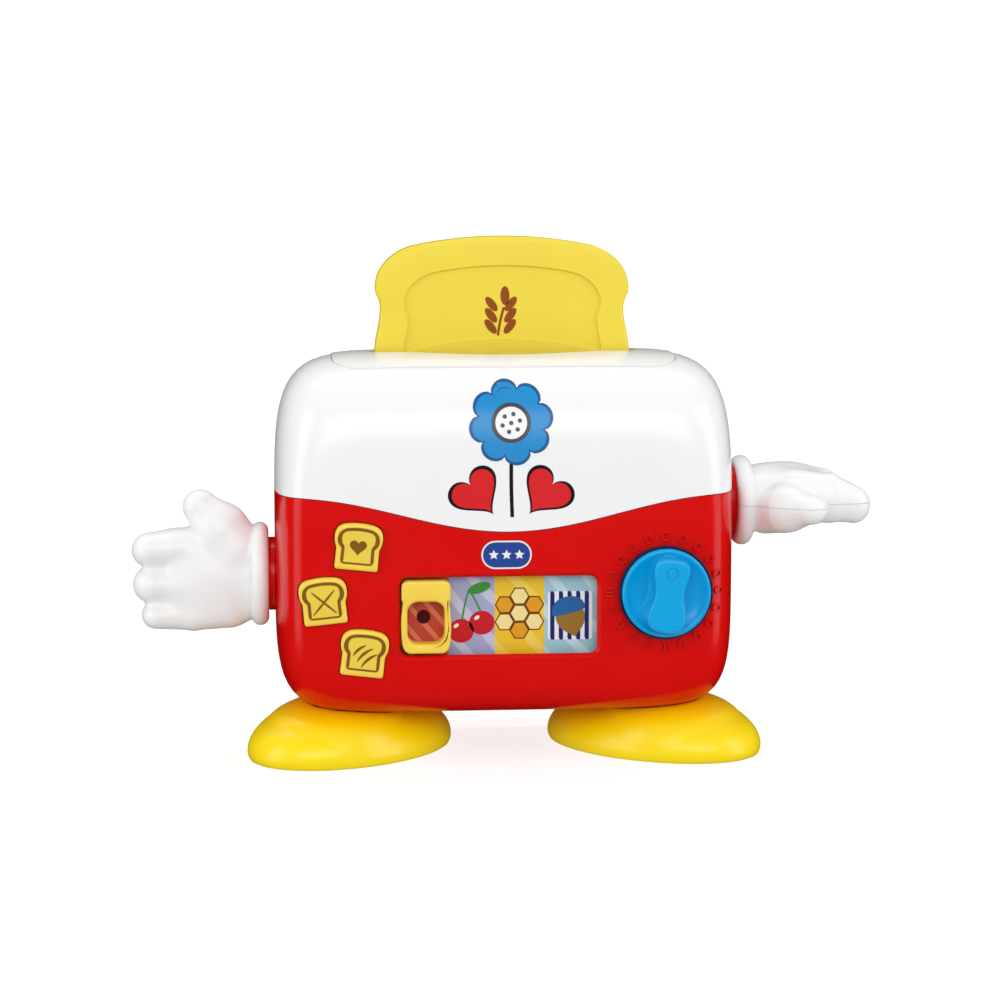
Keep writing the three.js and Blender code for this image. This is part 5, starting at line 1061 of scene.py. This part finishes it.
def ball(place, radius, fullness):
    """One of a limb's balls, cut off flat inside the cuff."""
    form = fresh("uv_sphere", segments=28, ring_count=16, radius=radius)
    put_points(form, points_of(form) * (1, 1, fullness) + place)
    if place[0] - radius < GLOVE_FLOOR:
        cut = {"plane_co": (GLOVE_FLOOR, 0, 0), "plane_no": (1, 0, 0), "use_fill": True, "clear_inner": True}
        edited(form, ("bisect", cut))
    return form


def glove_form():
    """The glove: balls along its limbs are fused, and the skin is drawn onto the limbs' soft union."""
    tube, cuff_v = sizes().cuff_tube / MM, sizes().cuff_half_width / MM
    rings = []
    for step in range(17):
        turn = pi * (step / 16 - 0.5)
        out = tube * (cos(turn) - 1)
        u, half = tube + tube * sin(turn), cuff_v + out
        rings.append([(u, v, w) for v, w in oval(half, half - 3, 72)])
    forms = [wrapped(rings)]
    for limb in (PALM, *FINGERS, THUMB):
        for near, far in zip(limb, limb[1:]):
            for step in range(7):
                u, v, w, radius, fullness = np.array(near) + (np.array(far) - near) * step / 6
                forms.append(ball((u, v, w), radius, fullness))
    glove = modified(joined(*forms), "REMESH", mode="VOXEL", voxel_size=VOXEL)
    points = points_of(glove)
    for _ in range(8):
        gap = glove_distance(points)
        slope = np.stack([(glove_distance(points + step) - glove_distance(points - step)) / 0.1
                          for step in np.eye(3) * 0.05], axis=1)
        steep = np.maximum((slope ** 2).sum(axis=1), 0.2)
        points = points - np.clip(gap / steep, -2, 2)[:, None] * slope
    put_points(glove, points)
    return modified(glove, "SMOOTH", factor=0.4, iterations=3)


def glove_half(glove, side, height, back):
    """One moulded half of a glove, cut along its parting plane and placed at its wrist."""
    level = (1 if back else -1) * GAP / 10
    cut = {"plane_co": (0, 0, level), "plane_no": (0, 0, 1), "use_fill": True, "clear_inner": back,
           "clear_outer": not back}
    half = edited(copy_of(glove), ("bisect", cut))
    thumb = Vector((0, 0, 1)) if side < 0 else Vector((0, -1, 0))
    rear = Vector((0, 1, 0)) if side < 0 else Vector((0, 0, 1))
    columns = Matrix((Vector((side, 0, 0)), thumb, rear)).transposed().to_4x4()
    half.data.transform(Matrix.Translation((side * WRIST_FACE, 0, height)) @ columns)
    return tidy(half)


def build_hands():
    glove, white, red = glove_form(), plastic("satin_white_PVC"), plastic("polished_red_ABS")
    for name, side, height in WRISTS:
        for part in ("palm", "back"):
            half = glove_half(glove, side, height, part == "back")
            settled(half, f"{name}_glove_{part}_half", white, f"{name}_hand", "white_glove",
                    (f"{name}_glove_{part}",), smooth=50)
        profile = [(0, 92.5), (6, 92.5), (6, 101.8), (16.4, 101.8), (16.4, 104.5), (16.2, 104.8), (0, 104.8)]
        hub = turned([(r, side * x) for r, x in profile], 0, height, 96, True)
        settled(hub, f"{name}_wrist", red, f"{name}_hand", "red_casing", (f"{name}_wrist_hub",))
    bpy.data.objects.remove(glove)


def shoe_form():
    """The right shoe: a low dome turned outwards, with a round toe swelling out of its front."""
    turn = radians(SHOE_TURN)
    mound = sizes().shoe_mound / MM
    rows = [(0.93, 0.2), (0.965, 0.0), (0.978, 0.3), (0.99, 1.3), (0.998, 2.6)]
    for level in range(49):
        angle = pi / 2 * level / 48 * 0.985
        rows.append((cos(angle) ** (2 / 2.03), 3.7 + sin(angle) ** (2 / 2.03) * 22.2))
    rings = []
    for size, z in rows:
        ring = []
        for along, across in oval(SHOE_HALF_LENGTH * size, SHOE_HALF_WIDTH * size, 160):
            inside = 1 - hypot((along - 14) / 30, (across + 4) / 30.5)
            share = min(max(inside / 0.22, 0), 1)
            swell = mound * sin(share * pi / 2) if z > 4 else 0
            x = SHOE_X + along * cos(turn) + across * sin(turn) + swell / 30 * (along - 14) * 0.5
            y = -4 - along * sin(turn) + across * cos(turn) - swell * 0.5
            ring.append((x, y, z + swell * 0.8))
        rings.append(ring)
    return wrapped(rings)


def build_shoes():
    finish = shoe_abs()
    right = shoe_form()
    carve(right, casing_form(-GAP, *COARSE))
    left = copy_of(right, mirrored=True)
    for name, shoe in (("right", right), ("left", left)):
        settled(shoe, f"{name}_shoe", finish, "casing", "shoe_yellow", (f"{name}_foot",), smooth=50)


def build_face_print():
    """A flower with two heart-shaped leaves, printed on the white front."""
    def leaves(size, layer):
        return [stamp(heart(size), x, 120.4, front_face, layer, tilt)
                for x, tilt in ((-14.0, 38), (15.0, -38))]

    def petals(radius, dip, layer):
        return [stamp(blossom(radius, 8, dip), 0.5, 151.5, front_face, layer, 11)]

    def disc(radius, corners, layer, x=0.0, z=0.0):
        return stamp(oval(radius, radius, corners), 0.5 + x, 151.5 + z, front_face, layer)

    stem = ribbon(drawn((0.5, 137), ((0.2, 124), (0.9, 110.5)), steps=24), [0.8] * 25, front_face)
    print_all("front_", "white_casing", {
        "black_print": ("#151515", [*leaves(23.5, 1), stem]),
        "red_leaf_print": ("#E01820", leaves(20.6, 2)),
        "dark_blue_print": ("#155F9C", petals(18.6, 0.2, 2)),
        "bright_blue_print": ("#1E90D2", petals(17.2, 0.21, 3)),
        "grey_print": ("#4A4A4E", [disc(8.6, 48, 4)]),
        "white_centre_print": ("#F6F6F6", [disc(6.9, 48, 5)]),
        "seed_print": ("#4A4A4E", [disc(0.95, 16, 6, x, z) for x, z in [(0, 0), *regular(3.9, 6, 15)]]),
    })


def build_name_place():
    """The small oval label above the window, bare but for three stars."""
    label = evenly(placed(rounded(-11, 11, -6.2, 6.2, 6.1), -1.6, 94), 96)
    star = [(r * sin(pi * i / 5), r * cos(pi * i / 5))
            for i, r in enumerate([2.3, 1.05] * 5)][::-1]
    print_all("", "red_casing", {
        "label_rim": ("#F2F2F2", [printed(label, front_face)]),
        "label_ground": ("#24489A", [printed(grown(label, -0.7), front_face, 2)]),
        "label_stars": ("#F4F4F4", [stamp(star, -1.6 + 5.6 * i, 94, front_face, 3) for i in (-1, 0, 1)]),
    })


def finish_inner_pieces():
    """Gives each node that stays its own material."""
    grey = moulded("grey_ABS", linear("#9A9A9A"), 0.5, 0.6, 0.01)
    white = moulded("inner_white_ABS", linear("#ECECEC"), 0.4, 0.8, 0.004)
    rubber = moulded("black_rubber", linear("#303030"), 0.8, 0.3, 0.01)
    steel, brass = metal("zinc_plated_steel", "#BFC2C4", 0.3, 0.4), metal("brass", "#C9A24A", 0.28, 0.4)
    finishes = {
        "red_casing": plastic("polished_red_ABS"), "white_casing": white, "white_glove": white,
        "toast_yellow": plastic("satin_yellow_polypropylene"), "control_yellow": plastic("yellow_ABS"),
        "shoe_yellow": shoe_abs(), "knob_blue": plastic("blue_ABS"),
        "navy": plastic("matt_navy_ABS"),
        "inner_plastic": grey, "picture_card": moulded("plain_card", linear("#D8C23A"), 0.6, 0.2, 0.01),
        "circuit_board": circuit_board(), "rubber": rubber, "steel": steel, "brass": brass,
        "battery": battery_wrap(),
    }
    for entry in frame["record"]["subparts"]:
        node = frame["nodes"][entry["node"]]
        if not node.hide_render:
            node.data.materials.clear()
            node.data.materials.append(finishes[entry["material_slot"]])


# Operators


def operator(idname, label, doc, *builders):
    """An operator that runs one group's builders."""
    def execute(self, context):
        for build in builders:
            build()
        return {"FINISHED"}

    return type("TOASTER_OT_" + idname, (bpy.types.Operator,), {
        "__doc__": doc, "bl_idname": "toaster." + idname, "bl_label": label, "bl_options": {"REGISTER"},
        "execute": execute})


def build_backdrop():
    """A pale paper sweep: floor and wall in one sheet with a wide bend between them."""
    sheet = fresh("plane", size=100, location=(0, -47, 0))
    rear = {int(i) for i in np.argsort(-points_of(sheet)[:, 1])[:2]}
    edited(sheet, ("select_mode", {"type": "EDGE"}), ("select_all", {"action": "DESELECT"}))
    for step, settings in (("extrude_region_move", {"TRANSFORM_OT_translate": {"value": (0, 0, 4)}}),
                           ("bevel", {"offset": 1.5, "segments": 32, "affect": "EDGES"})):
        for edge in sheet.data.edges:
            edge.select = set(edge.vertices) == rear
        bpy.ops.object.mode_set(mode="EDIT")
        getattr(bpy.ops.mesh, step)(**settings)
        bpy.ops.object.mode_set(mode="OBJECT")
    bpy.ops.object.shade_smooth()
    sheet.name = "backdrop"
    # Matt seamless paper: near white, with a breath of grain, and lit a little from behind.
    material, tree, shader, place = blank("seamless_white_paper")
    speck = add(tree, "TexNoise", {"Vector": place, "Scale": 60.0, "Detail": 2.0}).outputs[0]
    wire(tree, shader, {
        "Base Color": blend(tree, speck, linear("#949494"), linear("#9C9C9C")), "Roughness": 0.9,
        "Emission Color": linear("#FFFFFF"), "Emission Strength": 0.77})
    sheet.data.materials.append(material)
    sheet.visible_glossy = sheet.visible_diffuse = False
    return sheet


# The camera's lens in millimetres, its place by degrees round and above the toy, and its distance in metres.
CAMERA_LENS, CAMERA_TURN, CAMERA_RISE, CAMERA_DISTANCE = 104, 4.7, 7.5, 1.3
TOY_MIDDLE = (0, 0, 0.11)


def build_stage():
    build_backdrop()
    world = bpy.data.worlds.new("soft_room")
    bpy.context.scene.world = world
    world.use_nodes = True
    tree = world.node_tree
    wire(tree, tree.nodes["Background"], {"Color": linear("#FFFFFF"), "Strength": 0.62})
    world.cycles_visibility.glossy = False
    lights = (
        ("left_strip", (-1.2, -0.5, 0.35), (0.7, 1.3), 5, TOY_MIDDLE),
        ("right_strip", (1.2, -0.5, 0.35), (0.7, 1.3), 5, TOY_MIDDLE),
        ("overhead", (0, 0.1, 1.6), (2.2, 1.6), 2.1, TOY_MIDDLE),
        ("front_bank", (0, -2.2, 1.0), (2.4, 1.2), 18, TOY_MIDDLE),
        ("wall_wash", (0, 0.5, 1.9), (2.4, 0.4), 60, (0, 3, 0.9)),
    )
    for name, place, (width, height), power, target in lights:
        light = bpy.data.lights.new(name, "AREA")
        light.shape = "RECTANGLE"
        light.size, light.size_y, light.energy = width, height, power
        lamp = bpy.data.objects.new(name, light)
        lamp.location = place
        lamp.rotation_euler = (Vector(target) - lamp.location).to_track_quat("-Z", "Y").to_euler()
        bpy.context.scene.collection.objects.link(lamp)
    camera = bpy.data.cameras.new("camera")
    camera.lens, camera.sensor_width = CAMERA_LENS, 36
    camera.clip_end = 50
    seat = bpy.data.objects.new("camera", camera)
    aim = Vector((-0.0007, MIDDLE_Y, 0.112))
    turn, rise = radians(CAMERA_TURN), radians(CAMERA_RISE)
    away = Vector((-sin(turn) * cos(rise), -cos(turn) * cos(rise), sin(rise)))
    seat.location = aim + CAMERA_DISTANCE * away
    seat.rotation_euler = (-away).to_track_quat("-Z", "Y").to_euler()
    bpy.context.scene.collection.objects.link(seat)
    bpy.context.scene.camera = seat
    bpy.context.scene.view_settings.view_transform = "Standard"


OPERATORS = (
    operator("stage", "Stage", "Floor, studio light and camera", build_stage),
    operator("casing", "Casing", "The four casing covers and the battery cover", build_casing),
    operator("top_panel", "Top panel", "The white panel with the slot and the finger dip", build_top_panel),
    operator("toast", "Toast", "The two halves of the toast and its print", build_toast, build_toast_print),
    operator("buttons", "Bread buttons", "The three push buttons with their prints", build_buttons),
    operator("selector", "Selector", "The sliding jar frame and the pictures behind it", build_selector,
             build_card),
    operator("dial", "Dial", "Dial, ring, seat and moulded marks", build_dial),
    operator("hands", "Hands", "Gloves and wrists", build_hands),
    operator("shoes", "Shoes", "Both shoes", build_shoes),
    operator("prints", "Prints", "The flower on the front and the small label", build_face_print,
             build_name_place),
    operator("inner", "Inner pieces", "Finishes of the nodes that stay", finish_inner_pieces),
)


class TOASTER_PT_pieces(bpy.types.Panel):
    """Lists the toaster's pieces."""
    bl_idname = "TOASTER_PT_pieces"
    bl_label = "Toy toaster"
    bl_space_type = "VIEW_3D"
    bl_region_type = "UI"
    bl_category = "Toaster"

    def draw(self, context):
        for group in (context.scene.toaster_sizes, context.scene.toaster_colours):
            box = self.layout.box()
            for name in group.__annotations__:
                box.prop(group, name)
        for made in OPERATORS:
            self.layout.operator(made.bl_idname)


CLASSES = (ToasterSizes, ToasterColours, *OPERATORS, TOASTER_PT_pieces)


def register():
    for made in CLASSES:
        bpy.utils.register_class(made)
    bpy.types.Scene.toaster_sizes = bpy.props.PointerProperty(type=ToasterSizes)
    bpy.types.Scene.toaster_colours = bpy.props.PointerProperty(type=ToasterColours)


def unregister():
    del bpy.types.Scene.toaster_sizes, bpy.types.Scene.toaster_colours
    for made in reversed(CLASSES):
        bpy.utils.unregister_class(made)


def main():
    register()
    for made in OPERATORS:
        group, name = made.bl_idname.split(".")
        getattr(getattr(bpy.ops, group), name)()


if __name__ == "__main__":
    main()
